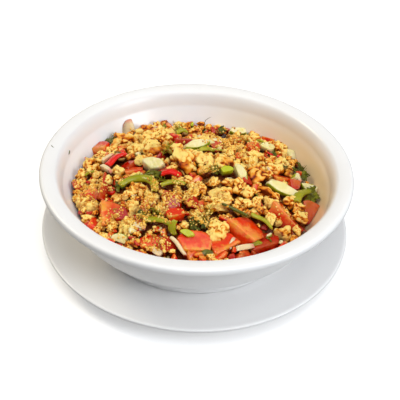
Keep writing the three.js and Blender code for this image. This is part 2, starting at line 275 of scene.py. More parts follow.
class Outline:
    """An outline in (radius, height), drawn stretch by stretch."""

    def __init__(self, radius: float, height: float) -> None:
        """Starts the outline at a point."""
        self.points: list[Span] = [(radius, height)]

    def line(self, radius: float, height: float) -> Outline:
        """Adds a straight stretch."""
        self.points.append((radius, height))
        return self

    def curve(self, *controls: Span, steps: int = 8) -> Outline:
        """Adds a curved stretch.

        Args:
            *controls: The curve's guide points and, last, its end.
            steps: How many straight pieces it is drawn with.

        Returns:
            The outline.
        """
        guides = np.array([self.points[-1], *controls])
        for step in range(1, steps + 1):
            share, row = step / steps, guides
            while len(row) > 1:
                row = row[:-1] * (1 - share) + row[1:] * share
            self.points.append((float(row[0][0]), float(row[0][1])))
        return self

    def turned(self, sides: int) -> Form:
        """Turns the outline about the upright. It starts and ends on the axis.

        Args:
            sides: How many sides the round has.

        Returns:
            The closed form.
        """
        rings = self.points[1:-1]
        angles = np.arange(sides) * 2 * math.pi / sides
        corners = [(0.0, 0.0, self.points[0][1])]
        for radius, height in rings:
            corners += [(radius * math.cos(a), radius * math.sin(a), height) for a in angles]
        corners.append((0.0, 0.0, self.points[-1][1]))
        outward = [(face[0], *face[:0:-1]) for face in ring_faces(len(rings), sides)]
        return Form(np.array(corners), outward)


def ball_form(fineness: int) -> Form:
    """A ball of radius 1 with even triangles.

    Args:
        fineness: 1 for 20 faces, and four times as many for each step more.

    Returns:
        The ball.
    """
    work = bmesh.new()
    bmesh.ops.create_icosphere(work, subdivisions=fineness, radius=1.0)
    corners = np.array([v.co[:] for v in work.verts])
    faces = [tuple(v.index for v in f.verts) for f in work.faces]
    work.free()
    return Form(corners, faces)


def sheet_form(
    rows: int, columns: int, place: Callable[[Points, Points], Points], thickness: float
) -> Form:
    """A closed thin solid round a bent sheet, both faces split alike.

    Args:
        rows: Corners along the sheet.
        columns: Corners across it.
        place: Gives the sheet's middle for shares from -1 to 1 along and across.
        thickness: The sheet's thickness.

    Returns:
        The form, with the marks "across", from -1 to 1, and "pale", 1 on its under side.
    """
    nudge, thin_rim = 1e-3, 0.45
    along, across = np.meshgrid(
        np.linspace(-1, 1, rows), np.linspace(-1, 1, columns), indexing="ij"
    )
    along, across = along.ravel(), across.ravel()
    middle = place(along, across)
    tangent = place(along + nudge, across) - place(along - nudge, across)
    sideways = place(along, across + nudge) - place(along, across - nudge)
    normal = np.cross(tangent, sideways)
    normal /= np.linalg.norm(normal, axis=1, keepdims=True) + 1e-12
    rim = np.maximum(abs(along), abs(across)) > 1 - nudge
    half = thickness / 2 * np.where(rim, thin_rim, 1.0)[:, None]
    corners = np.vstack([middle + normal * half, middle - normal * half])
    count = rows * columns
    faces: Faces = []
    for row in range(rows - 1):
        for column in range(columns - 1):
            a = row * columns + column
            b, c, d = a + columns, a + columns + 1, a + 1
            faces.append((a, b, c, d))
            faces.append((count + d, count + c, count + b, count + a))
    loop = [row * columns for row in range(rows)]
    loop += [(rows - 1) * columns + column for column in range(1, columns)]
    loop += [row * columns + columns - 1 for row in range(rows - 2, -1, -1)]
    loop += list(range(columns - 2, 0, -1))
    for here, there in zip(loop, loop[1:] + loop[:1]):
        faces.append((here, count + here, count + there, there))
    marks = {"across": np.concatenate([across, across]), "pale": np.repeat([0.0, 1.0], count)}
    return Form(corners, faces, marks)


def tube_form(path: Points, radii: Points, sides: int) -> Form:
    """A closed tube along a path.

    Args:
        path: The points it follows.
        radii: Its radius at each point.
        sides: How many sides it has.

    Returns:
        The form.
    """
    direction = np.gradient(path, axis=0)
    direction /= np.linalg.norm(direction, axis=1, keepdims=True)
    helper = np.where(abs(direction[:, 2:3]) > 0.9, [[1.0, 0, 0]], [[0, 0, 1.0]])
    first = np.cross(direction, helper)
    first /= np.linalg.norm(first, axis=1, keepdims=True)
    second = np.cross(direction, first)
    corners = [path[0]]
    for point, radius, one, two in zip(path, radii, first, second):
        for side in range(sides):
            angle = side * 2 * math.pi / sides
            corners.append(point + radius * (math.cos(angle) * one + math.sin(angle) * two))
    corners.append(path[-1])
    return Form(np.array(corners), ring_faces(len(path), sides))


def joined(forms: list[Form]) -> Form:
    """One form made of several, with the marks that all of them have.

    Args:
        forms: The forms.

    Returns:
        The joined form.
    """
    faces: Faces = []
    offset = 0
    for form in forms:
        faces += [tuple(corner + offset for corner in face) for face in form.faces]
        offset += len(form.corners)
    shared = set.intersection(*(set(form.marks) for form in forms))
    marks = {mark: np.concatenate([form.marks[mark] for form in forms]) for mark in shared}
    return Form(np.vstack([form.corners for form in forms]), faces, marks)


# ---------------------------------------------------------------- node building


class Board:
    """Adds nodes and links to one node tree."""

    def __init__(self, tree: NodeTree) -> None:
        """Starts on an emptied tree."""
        self.tree = tree
        tree.nodes.clear()

    def add(self, kind: str, inputs: dict | None = None, **settings: object) -> Node:
        """Adds a node.

        Args:
            kind: The node's type name.
            inputs: Values or sockets for its inputs, by name or number.
            **settings: Properties of the node itself.

        Returns:
            The node.
        """
        node = self.tree.nodes.new(kind)
        for setting, value in settings.items():
            setattr(node, setting, value)
        for socket, value in (inputs or {}).items():
            if isinstance(value, Socket):
                self.tree.links.new(value, node.inputs[socket])
            else:
                node.inputs[socket].default_value = value
        return node

    def math(self, operation: str, *values: object) -> Socket:
        """Adds a maths node of values or sockets and gives its result."""
        node = self.add("ShaderNodeMath", dict(enumerate(values)), operation=operation)
        return node.outputs[0]

    def total(self, *terms: tuple[Socket, float]) -> Socket:
        """Adds up sockets, each times its weight."""
        parts = [self.math("MULTIPLY", socket, weight) for socket, weight in terms]
        return reduce(lambda one, two: self.math("ADD", one, two), parts)

    def ramp(self, value: Socket, span: tuple, result: tuple = (0.0, 1.0)) -> Socket:
        """Maps a value smoothly from one span to another.

        Args:
            value: The value.
            span: Where it starts and ends to count.
            result: What it becomes at these two ends.

        Returns:
            The mapped value.
        """
        inputs = dict(enumerate((value, *span, *result)))
        return self.add("ShaderNodeMapRange", inputs, interpolation_type="SMOOTHSTEP").outputs[0]

    def mix(self, factor: object, one: object, two: object) -> Socket:
        """Mixes two colours and gives the result."""
        node = self.add("ShaderNodeMix", {0: factor, 6: one, 7: two}, data_type="RGBA")
        return node.outputs[2]

    def mark(self, name: str) -> Socket:
        """Reads one of the mesh's float attributes in a material."""
        return self.add("ShaderNodeAttribute", attribute_name=name).outputs["Fac"]


def new_group(
    name: str, kind: str, inputs: dict[str, float | str], outputs: dict[str, str]
) -> tuple[Board, bpy.types.bpy_prop_collection]:
    """Starts a node group with named inputs and outputs.

    Args:
        name: The group's name.
        kind: Its type of tree.
        inputs: For each input its usual number, or the type of its socket.
        outputs: For each output the type of its socket.

    Returns:
        A board on the group, and what the inputs give, by name.
    """
    tree = bpy.data.node_groups.new(name, kind)
    for label, value in inputs.items():
        number = "Int" if isinstance(value, int) else "Float"
        typed = "NodeSocket" + (value if isinstance(value, str) else number)
        socket = tree.interface.new_socket(label, in_out="INPUT", socket_type=typed)
        if not isinstance(value, str):
            socket.default_value = value
    for label, typed in outputs.items():
        tree.interface.new_socket(label, in_out="OUTPUT", socket_type="NodeSocket" + typed)
    board = Board(tree)
    return board, board.add("NodeGroupInput").outputs


class Effects:
    """Shader node groups that several finishes share, each built once."""

    def __init__(self) -> None:
        """Builds the groups."""
        self.mottle = self._mottle()
        self.film = self._film()

    @staticmethod
    def _mottle() -> NodeTree:
        """Soft patches of two strengths that follow the object, as a mask.

        Returns:
            The node group.
        """
        fine_scale, middle = 5.0, 0.5
        board, given = new_group(
            "Mottle", "ShaderNodeTree",
            {"Patch size": 60.0, "Softness": 0.25, "Shift": 0.0},
            {"Mask": "Float", "Fine": "Float"},
        )
        place = board.add("ShaderNodeTexCoord").outputs["Object"]

        def noise(scale: Socket, detail: float) -> Socket:
            """Noise at a scale, moved on by the group's shift."""
            inputs = {"Vector": place, "W": given["Shift"], "Scale": scale, "Detail": detail}
            return board.add("ShaderNodeTexNoise", inputs, noise_dimensions="4D").outputs[0]

        low = board.math("SUBTRACT", middle, given["Softness"])
        high = board.math("ADD", middle, given["Softness"])
        mask = board.ramp(noise(given["Patch size"], 3.0), (low, high))
        fine = noise(board.math("MULTIPLY", given["Patch size"], fine_scale), 2.0)
        board.add("NodeGroupOutput", {"Mask": mask, "Fine": fine})
        return board.tree

    @staticmethod
    def _film() -> NodeTree:
        """A wet film: how rough it is from place to place, and the height of its ripples.

        Returns:
            The node group.
        """
        patch_scale, patch_span = 0.35, (0.35, 0.65)
        board, given = new_group(
            "Wet film", "ShaderNodeTree",
            {"Ripple size": 300.0, "Smooth": 0.15, "Dull": 0.5},
            {"Roughness": "Float", "Height": "Float"},
        )
        place = board.add("ShaderNodeTexCoord").outputs["Object"]

        def noise(scale: Socket, detail: float) -> Socket:
            """Noise at a scale."""
            inputs = {"Vector": place, "Scale": scale, "Detail": detail}
            return board.add("ShaderNodeTexNoise", inputs).outputs[0]

        patches = noise(board.math("MULTIPLY", given["Ripple size"], patch_scale), 1.0)
        roughness = board.ramp(patches, patch_span, (given["Smooth"], given["Dull"]))
        ripples = noise(given["Ripple size"], 3.0)
        board.add("NodeGroupOutput", {"Roughness": roughness, "Height": ripples})
        return board.tree


# ---------------------------------------------------------------- finishes


@dataclass(frozen=True)
class Patches:
    """Soft patches of colour: their noise scale, the softness of their edge and their shift."""

    scale: float
    softness: float
    shift: float = 0.0

    def place(self, board: Board, effects: Effects) -> Node:
        """Places the shared group with these values."""
        values = {"Patch size": self.scale, "Softness": self.softness, "Shift": self.shift}
        return board.add("ShaderNodeGroup", values, node_tree=effects.mottle)


@dataclass(frozen=True)
class Layer:
    """A colour, and where it covers the colours below it.

    Its cover is the sum of the mesh's marks and of patches, each times its weight, plus a
    start. Where a span is given, this is mapped to the result, and then multiplied by a mark.
    """

    colour: Colour
    weights: dict[str | Patches, float]
    start: float = 0.0
    span: Span | None = None
    result: Span = (0.0, 1.0)
    times: str = ""

    def cover(self, board: Board, effects: Effects) -> Socket:
        """Adds the nodes that say how much the colour shows.

        Args:
            board: The material's board.
            effects: The shared node groups.

        Returns:
            The cover, from 0 to 1.
        """
        terms = []
        for source, weight in self.weights.items():
            patches = isinstance(source, Patches)
            mask = source.place(board, effects).outputs["Mask"] if patches else board.mark(source)
            terms.append((mask, weight))
        value = board.math("ADD", board.total(*terms), self.start)
        if self.span:
            value = board.ramp(value, self.span, self.result)
        return board.math("MULTIPLY", value, board.mark(self.times)) if self.times else value


@dataclass(frozen=True)
class Film:
    """A wet film: ripple scale, smooth and dull roughness, bump strength, depth in metres."""

    ripple: float
    smooth: float
    dull: float
    strength: float
    depth: float


@dataclass(frozen=True)
class Scattering:
    """Light that goes into a piece: how much, how far in metres, and how far by colour."""

    weight: float
    reach: float
    radius: Triple


@dataclass(frozen=True)
class Finish:
    """A wet body with a first colour and layers of others over it."""

    name: str
    film: Film
    first: Colour
    layers: dict[str, Layer]
    scattering: Scattering | None = None
    coat: Span | None = None
    gloss: float = 0.25
    ior: float | None = None
    relief: Patches | None = None

    def build(self, effects: Effects) -> Material:
        """Makes the material.

        Args:
            effects: The shared node groups.

        Returns:
            The material.
        """
        material = bpy.data.materials.new(self.name)
        material.use_nodes = True
        board = Board(material.node_tree)
        wet = {"Ripple size": self.film.ripple, "Smooth": self.film.smooth, "Dull": self.film.dull}
        film = board.add("ShaderNodeGroup", wet, node_tree=effects.film).outputs
        bumps = self.relief and self.relief.place(board, effects).outputs["Fine"]
        relief = {
            "Height": bumps or film["Height"],
            "Strength": self.film.strength,
            "Distance": self.film.depth,
        }
        colour = self.first
        for layer in self.layers.values():
            colour = board.mix(layer.cover(board, effects), colour, layer.colour)
        shader = board.add("ShaderNodeBsdfPrincipled", {
            "Base Color": colour,
            "Roughness": film["Roughness"],
            "Normal": board.add("ShaderNodeBump", relief).outputs[0],
            **self.constants(),
        })
        board.add("ShaderNodeOutputMaterial", {"Surface": shader.outputs[0]})
        return material

    def constants(self) -> dict[str, object]:
        """The shader's values that are the same all over the surface.

        Returns:
            The values by socket.
        """
        values: dict[str, object] = {"Specular IOR Level": self.gloss}
        if self.ior:
            values["IOR"] = self.ior
        if self.coat:
            values["Coat Weight"], values["Coat Roughness"] = self.coat
        if self.scattering:
            values["Subsurface Weight"] = self.scattering.weight
            values["Subsurface Scale"] = self.scattering.reach
            values["Subsurface Radius"] = self.scattering.radius
        return values


SHADE = {"shade": 1.0}
WET = (0.25, 0.12)
# painted shade and juice: what lies deep between other pieces is made darker and redder, for the
# shade in the gaps and the juice that gathers there
GAP_SHADE_AND_JUICE = {"gap": Layer(linear(112, 40, 4), {"deep": 0.8})}

GLAZE = Finish(
    "white_glaze", Film(45.0, 0.30, 0.4, 0.05, 0.0004), linear(248, 248, 248),
    {
        "greyer": Layer(linear(244, 243, 242), {Patches(18.0, 0.3): 1.0}),
        # a warm tint on the right of the inside: painted reflection and shade of the food, with a
        # little dressing
        "dressing": Layer(linear(228, 184, 92), {"film": 1.0}),
    },
    coat=(0.35, 0.22), gloss=0.5, ior=1.52,
)

WALNUT_CREAM = linear(255, 222, 124)
# tone: ridges paler and furrows darker, partly the kernel's own colour and partly painted highlight
# and shade; steep sides darker as painted shade
WALNUT_TONE_AND_PAINTED_LIGHT = {"ridge": 0.80, Patches(110.0, 0.2): 0.50, "shade": -0.5, "steep": -0.55}
WALNUT_START = 0.08
WALNUT = Finish(
    # the darkest colour, in the furrows and on steep sides: furrow skin with painted shade
    "walnut", Film(700.0, 0.3, 0.6, 0.5, 0.0004), linear(112, 38, 2),
    {
        "amber": Layer(linear(196, 86, 4), WALNUT_TONE_AND_PAINTED_LIGHT, WALNUT_START, (-0.1, 0.3)),
        "golden": Layer(linear(238, 154, 26), WALNUT_TONE_AND_PAINTED_LIGHT, WALNUT_START, (0.15, 0.6)),
        # pale cream on ridge tops and upward faces: partly painted highlight
        "cream_and_painted_highlight": Layer(WALNUT_CREAM, WALNUT_TONE_AND_PAINTED_LIGHT, WALNUT_START, (0.45, 0.9)),
        "break": Layer(WALNUT_CREAM, SHADE, span=(0.9, 0.4), result=(0.1, 0.6), times="pale"),
        **GAP_SHADE_AND_JUICE,
    },
    Scattering(0.12, 0.0015, (1.0, 0.5, 0.2)),
)

TOMATO = Finish(
    "tomato", Film(420.0, 0.12, 0.4, 0.6, 0.0005), linear(226, 54, 6),
    {
        "core": Layer(
            linear(246, 146, 66), {"inner": 0.75, Patches(110.0, 0.16, 3.0): 0.7}, 0.0, (0.3, 1.15)
        ),
        "seeds": Layer(
            linear(226, 164, 40), {Patches(230.0, 0.06, 9.0): 1.0}, 0.0, (0.5, 1.0), (0.0, 0.75),
            "inner",
        ),
        "deep red": Layer(linear(176, 6, 0), SHADE, 0.0, (0.3, 1.0), (0.0, 0.9)),
        "skin": Layer(linear(206, 18, 0), {"skin": 1.0}),
        **GAP_SHADE_AND_JUICE,
    },
    Scattering(0.2, 0.003, (1.0, 0.2, 0.05)), (0.45, 0.1),
)

CUCUMBER = Finish(
    "cucumber", Film(320.0, 0.15, 0.4, 0.3, 0.0003), linear(242, 230, 176),
    {
        "seeds": Layer(linear(222, 206, 104), {Patches(190.0, 0.12): 0.5}),
        "lime": Layer(linear(186, 192, 26), SHADE, 0.0, (0.6, 1.0)),
        "rind": Layer(linear(150, 160, 16), {"skin": 1.0}),
        **GAP_SHADE_AND_JUICE,
    },
    Scattering(0.3, 0.004, (0.8, 1.0, 0.5)), WET,
)


def pepper(name: str, outer: Colour, inner: Colour) -> Finish:
    """Pepper strips: a waxy outer skin and a paler inner wall.

    Args:
        name: The finish's name.
        outer: The skin's colour.
        inner: The wall's colour.

    Returns:
        The finish.
    """
    layers = {
        "inner": Layer(inner, {Patches(120.0, 0.25): 0.35, "pale": 0.65}),
        "dark": Layer(linear(36, 46, 4), SHADE, 0.0, (0.4, 1.0), (0.0, 0.75)),
        **GAP_SHADE_AND_JUICE,
    }
    body = Scattering(0.15, 0.003, (1.0, 0.8, 0.3))
    return Finish(name, Film(300.0, 0.14, 0.35, 0.2, 0.0003), outer, layers, body, WET)


ONION = Finish(
    "onion", Film(260.0, 0.15, 0.4, 0.2, 0.0003), linear(238, 214, 168),
    {"pink": Layer(linear(222, 140, 118), {"across": 1.0}, 0.0, (0.0, 0.8), (0.0, 0.85)), **GAP_SHADE_AND_JUICE},
    Scattering(0.35, 0.003, (1.0, 0.8, 0.6)), WET,
)

HERBS = Finish(
    "herbs", Film(500.0, 0.3, 0.55, 0.4, 0.0003), linear(172, 172, 30),
    {"dark": Layer(linear(58, 62, 4), {Patches(260.0, 0.2): 0.4, "shade": 0.7}), **GAP_SHADE_AND_JUICE},
    Scattering(0.1, 0.001, (0.8, 1.0, 0.2)),
)

CRUMBS = Finish(
    "ground_walnut", Film(900.0, 0.45, 0.75, 0.4, 0.0002), linear(252, 220, 124),
    {
        "golden": Layer(linear(236, 174, 60), SHADE, 0.0, (0.0, 0.75)),
        "brown": Layer(linear(176, 96, 20), SHADE, 0.0, (0.78, 1.0)),
        **GAP_SHADE_AND_JUICE,
    },
    Scattering(0.1, 0.001, (1.0, 0.6, 0.3)),
)

# what shows deep between the pieces: dressing, juice and fine bits that stand up
FINE_BITS = Patches(420.0, 0.12, 5.0)
BED = Finish(
    "salad_bed", Film(500.0, 0.15, 0.45, 0.8, 0.0008), linear(190, 52, 10),
    {
        "dark": Layer(linear(120, 52, 8), {Patches(70.0, 0.2): 1.0}),
        "bits": Layer(linear(226, 146, 46), {FINE_BITS: 0.55}),
        **GAP_SHADE_AND_JUICE,
    },
    coat=WET, relief=FINE_BITS,
)


# ---------------------------------------------------------------- crockery


@dataclass
class Crockery:
    """Base of the turned pieces: each gives its outline, and all are built alike."""

    sides: int = 224
    sharp_edge: float = math.radians(50)

    def outline(self) -> Outline:
        """The whole section, from under the middle round to the middle of the top."""
        raise NotImplementedError

    def marks(self, corners: Points) -> dict[str, Points]:
        """Values that the corners carry: none, unless a piece has its own."""
        return {}

    def build(self, name: str, node: str, finish: Material) -> None:
        """Turns the piece and puts it in place of its solid.

        Args:
            name: The piece's name.
            node: The solid it stands for.
            finish: The glaze.
        """
        form = self.outline().turned(self.sides)
        form.marks = self.marks(form.corners)
        mesh = form.to_mesh(name)
        mesh.set_sharp_from_angle(angle=self.sharp_edge)
        settle(show(mesh, finish), "porcelain", node)


@dataclass
class Bowl(Crockery):
    """The deep bowl with its broad rounded lip. Sizes are millimetres over the table."""

    foot_z: float = 10.0
    foot_outer: float = 66.9
    foot_inner: float = 60.5
    foot_top: float = 15.6
    foot_round: float = 0.9
    foot_edge: Triple = (0.5, 0.1, 0.8)
    recess: float = 3.4
    recess_turn: Span = (4.0, 1.0)
    fillet_guide: Span = (0.6, 0.4)
    fillet: Span = (2.2, 1.4)
    wall_guide: Span = (86.0, 30.0)
    neck_radius: float = 91.0
    neck_drop: float = 6.0
    neck_guide: Span = (92.4, 1.4)
    lip_radius: float = 100.0
    lip_z: float = 58.8
    lip_top_radius: float = 97.2
    lip_top_z: float = 61.4
    lip_under_z: float = 55.2
    lip_under_rise: float = 0.7
    flange_outer: Span = (2.0, 1.2)
    flange_inner: float = 88.6
    flange_inner_z: float = 58.9
    flange_round: float = 0.6
    crease_radius: float = 86.0
    crease_z: float = 50.5
    wall_pull: Span = (7.5, 13.0)
    floor_pull: Span = (21.0, 3.0)
    floor_radius: float = 52.0
    floor_z: float = 19.0
    # where the food's warm reflection is painted on the inside, with a little dressing film
    reflection_most: float = 0.7
    reflection_middle: float = 0.12
    reflection_power: float = 1.3
    reflection_top: float = 1.0
    reflection_fade: float = 14.0
    reflection_wall: float = 1.5
    reflection_floor: float = 0.5

    def inner_wall(self, outline: Outline, steps: int) -> Outline:
        """Draws the inside from the crease to the middle of the floor.

        Args:
            outline: The outline so far.
            steps: How many straight pieces the wall is drawn with.

        Returns:
            The outline.
        """
        outline.curve(
            (self.crease_radius - self.wall_pull[0], self.crease_z - self.wall_pull[1]),
            (self.floor_radius + self.floor_pull[0], self.floor_z + self.floor_pull[1]),
            (self.floor_radius, self.floor_z),
            steps=steps,
        )
        return outline.line(0.0, self.floor_z)

    @cached_property
    def inside(self) -> tuple[Points, Points]:
        """The inside, from the rim of the floor to the flange.

        Returns:
            Its radii and its heights.
        """
        wall = self.inner_wall(Outline(self.crease_radius, self.crease_z), 40).points[:-1]
        profile = np.array([*wall[::-1], (self.flange_inner, self.flange_inner_z)])
        return profile[:, 0], profile[:, 1]

    def wall_radius(self, height: Points) -> Points:
        """The inside radius of the wall at heights over the table."""
        radii, heights = self.inside
        return np.interp(height, heights, radii)

    def wall_height(self, radius: Points) -> Points:
        """The height of the inside at radii from the axis.

        Args:
            radius: The radii.

        Returns:
            One height a radius.
        """
        radii, heights = self.inside
        radii = [0.0, *radii, self.lip_top_radius]
        return np.interp(radius, radii, [self.floor_z, *heights, self.lip_top_z])

    def outline(self) -> Outline:
        """The bowl's whole section, from under its middle round to its floor.

        Returns:
            The outline.
        """
        base, inner, outer = self.foot_z, self.foot_inner, self.foot_outer
        step, guide, end = self.foot_edge
        under = base + self.recess
        outline = Outline(0.0, under).line(inner - self.recess_turn[0], under)
        outline.curve((inner - self.recess_turn[1], under), (inner, base + step))
        outline.curve((inner + guide, base), (inner + end, base), steps=3)
        outline.line(outer - self.foot_round, base)
        outline.curve((outer, base), (outer, base + self.foot_round), steps=4)
        outline.curve(
            (outer - self.fillet_guide[0], self.foot_top - self.fillet_guide[1]),
            (outer + self.fillet[0], self.foot_top + self.fillet[1]),
            steps=10,
        )
        top, under = self.lip_top_z, self.lip_under_z
        outline.curve(self.wall_guide, (self.neck_radius, under - self.neck_drop), steps=26)
        neck = (self.neck_guide[0], under - self.neck_guide[1])
        outline.curve(neck, (self.lip_top_radius, under), steps=10)
        below = (self.lip_radius, under + self.lip_under_rise)
        outline.curve(below, (self.lip_radius, self.lip_z), steps=8)
        outline.curve((self.lip_radius, top), (self.lip_top_radius, top), steps=8)
        flange, flange_z = self.flange_inner, self.flange_inner_z
        outline.line(flange + self.flange_outer[0], flange_z + self.flange_outer[1])
        turn = (flange - self.flange_round, flange_z)
        outline.curve(turn, (self.crease_radius, self.crease_z), steps=14)
        return self.inner_wall(outline, 30)

    def marks(self, corners: Points) -> dict[str, Points]:
        """How strongly the food's warm reflection is painted on the inside, with a little dressing:
        most on the right.

        Args:
            corners: The bowl's corners.

        Returns:
            The mark "film".
        """
        x, y, z = corners.T
        by_wall = np.hypot(x, y) < self.wall_radius(z) + self.reflection_wall
        inside = by_wall & (z > self.floor_z - self.reflection_floor)
        side = np.clip(self.reflection_middle + x / self.crease_radius, 0, 1)
        low = np.clip((self.lip_z + self.reflection_top - z) / self.reflection_fade, 0, 1)
        return {"film": np.where(inside, self.reflection_most * side**self.reflection_power * low, 0.0)}


@dataclass
class Underplate(Crockery):
    """The shallow plate that carries the bowl. Sizes are millimetres over the table."""

    radius: float = 102.1
    edge_z: float = 14.8
    edge_width: float = 2.0
    edge_round: float = 1.9
    edge_guides: Span = (1.2, 1.4)
    edge_top: float = 1.0
    rim_guides: tuple[Span, Span] = ((90.0, 8.6), (88.0, 11.2))
    well_radius: float = 70.0
    well_z: float = 9.7
    underside_z: float = 5.2
    underside_turn: Span = (4.0, 0.5)
    foot_outer: float = 64.0
    foot_inner: float = 58.0
    foot_edge: Triple = (0.6, 0.1, 0.8)
    foot_round: float = 0.8
    fillet_guide: Span = (1.0, 5.0)
    fillet: Span = (9.0, 6.2)

    def outline(self) -> Outline:
        """The plate's whole section, from under its middle round to its top.

        Returns:
            The outline.
        """
        inner, outer, under = self.foot_inner, self.foot_outer, self.underside_z
        step, guide, end = self.foot_edge
        outline = Outline(0.0, under).line(inner - self.underside_turn[0], under)
        outline.curve((inner - self.underside_turn[1], under), (inner, step), steps=6)
        outline.curve((inner + guide, 0.0), (inner + end, 0.0), steps=3)
        outline.line(outer - self.foot_round, 0.0)
        outline.curve((outer, 0.0), (outer, self.foot_round), steps=3)
        fillet_guide = (outer + self.fillet_guide[0], self.fillet_guide[1])
        outline.curve(fillet_guide, (outer + self.fillet[0], self.fillet[1]), steps=8)
        edge, edge_z, inside = self.radius, self.edge_z, self.radius - self.edge_width
        outline.curve(self.rim_guides[0], (inside, edge_z - self.edge_round), steps=14)
        outline.curve((edge, edge_z - self.edge_guides[0]), (edge, edge_z), steps=6)
        over = (edge, edge_z + self.edge_guides[1])
        outline.curve(over, (inside, edge_z + self.edge_top), steps=6)
        outline.curve(self.rim_guides[1], (self.well_radius, self.well_z), steps=20)
        return outline.line(0.0, self.well_z)


# ---------------------------------------------------------------- forms of the food


def chunk_form(
    ball: Form,
    planes: list[tuple[Triple, float]],
    skin_middle: Triple,
    skin_radius: float,
    sharpness: float = 36.0,
) -> Form:
    """A solid between flat cuts and a round skin, with edges a little rounded.

    Args:
        ball: The ball whose corners are moved.
        planes: The cuts, each a direction and its distance from the middle.
        skin_middle: The middle of the round that the skin is part of.
        skin_radius: The radius of that round.
        sharpness: How crisp the edges are; 8 is soft and 40 crisp.

    Returns:
        The form, with the mark "skin" where the skin shows.
    """
    skin_from, skin_fade = 0.35, 0.3
    direction = ball.corners
    cuts = np.zeros(len(direction))
    for normal, distance in planes:
        unit = np.array(normal) / np.linalg.norm(normal)
        cuts += np.maximum(direction @ unit / distance, 1e-6) ** sharpness
    middle = np.array(skin_middle)
    ahead = direction @ middle
    leave = ahead + np.sqrt(skin_radius**2 - middle @ middle + ahead**2)
    skin = (1 / leave) ** sharpness
    reach = (cuts + skin) ** (-1 / sharpness)
    mark = np.clip((skin / (cuts + skin) - skin_from) / skin_fade, 0, 1)
    return Form(direction * reach[:, None], ball.faces, {"skin": mark})


class Maker:
    """Base of the makers: each makes the numbered forms of one kind of food."""

    def make(self, ball: Form, seed: int) -> Form:
        """Makes one form.

        Args:
            ball: The ball whose corners are moved; sheets and tubes do without it.
            seed: Which form is made.

        Returns:
            The form at unit length, with its marks.
        """
        raise NotImplementedError


@dataclass(frozen=True)
class WalnutMaker(Maker):
    """Broken pieces of walnut kernel. Lengths are shares of a ball's radius."""

    half_axes: Triple = (0.50, 0.37, 0.31)
    wander: float = 0.22
    wander_scale: float = 2.4
    fold_scales: Span = (1.7, 4.4)
    fine_fold: float = 0.15
    crease_width: float = 0.13
    lobe_scale: float = 1.5
    pit_scale: float = 8.0
    core: float = 0.72
    fold_height: float = 0.32
    lobe_height: float = 0.34
    pit_depth: float = 0.015
    break_at: float = 0.60
    break_roughness: float = 0.05
    break_edge: float = 0.04

    def make(self, ball: Form, seed: int) -> Form:
        """One piece: a few swollen folds with creases between them and pale breaks.

        Args:
            ball: The ball whose corners are moved.
            seed: Which piece is made.

        Returns:
            The form at unit length, with the marks "ridge" and "pale".
        """
        way = ball.corners
        sway = [
            layered_noise(way * self.wander_scale + 11 * axis, seed + axis, 2) for axis in range(3)
        ]
        bent = way + self.wander * np.stack(sway, axis=1)
        bent /= np.linalg.norm(bent, axis=1, keepdims=True)
        body = 1 / np.linalg.norm(way / np.array(self.half_axes), axis=1)
        wide, fine = (
            lattice_noise(bent * scale, seed + shift)
            for scale, shift in zip(self.fold_scales, (13.0, 15.0))
        )
        fold = 1 - np.exp(-np.abs(wide + self.fine_fold * fine) / self.crease_width)
        lobes = layered_noise(way * self.lobe_scale, seed + 21.0, 2)
        pits = lattice_noise(bent * self.pit_scale, seed + 17.0)
        swell = self.core + self.fold_height * fold + self.lobe_height * lobes
        corners = way * (body * (swell + self.pit_depth * pits))[:, None]
        pale = np.zeros(len(way))
        if seed % 2:
            corners, pale = self.broken(corners, seed)
        # the finish paints furrows darker and ridges paler, partly as painted shade and highlight
        ridge = np.clip(1.15 * fold - 0.1 + 0.08 * pits, 0, 1)
        return Form(corners, ball.faces, {"ridge": ridge, "pale": pale}).to_unit_length()

    def broken(self, corners: Points, seed: int) -> tuple[Points, Points]:
        """Breaks a piece of the kernel off.

        Args:
            corners: The kernel's corners.
            seed: Which piece is made.

        Returns:
            The corners, and how far each is on the pale break.
        """
        angle = 2 * math.pi * chance(seed, 40)
        rise = 1.6 * chance(seed, 42) - 0.3
        normal = np.array([math.cos(angle), math.sin(angle), rise])
        normal /= np.linalg.norm(normal)
        over = corners @ normal - self.break_at * (corners @ normal).max()
        rough = self.break_roughness * layered_noise(corners * 8, seed + 44)
        shift = np.where(over > 0, over - rough, 0.0)
        return corners - shift[:, None] * normal, np.clip(over / self.break_edge, 0, 1)


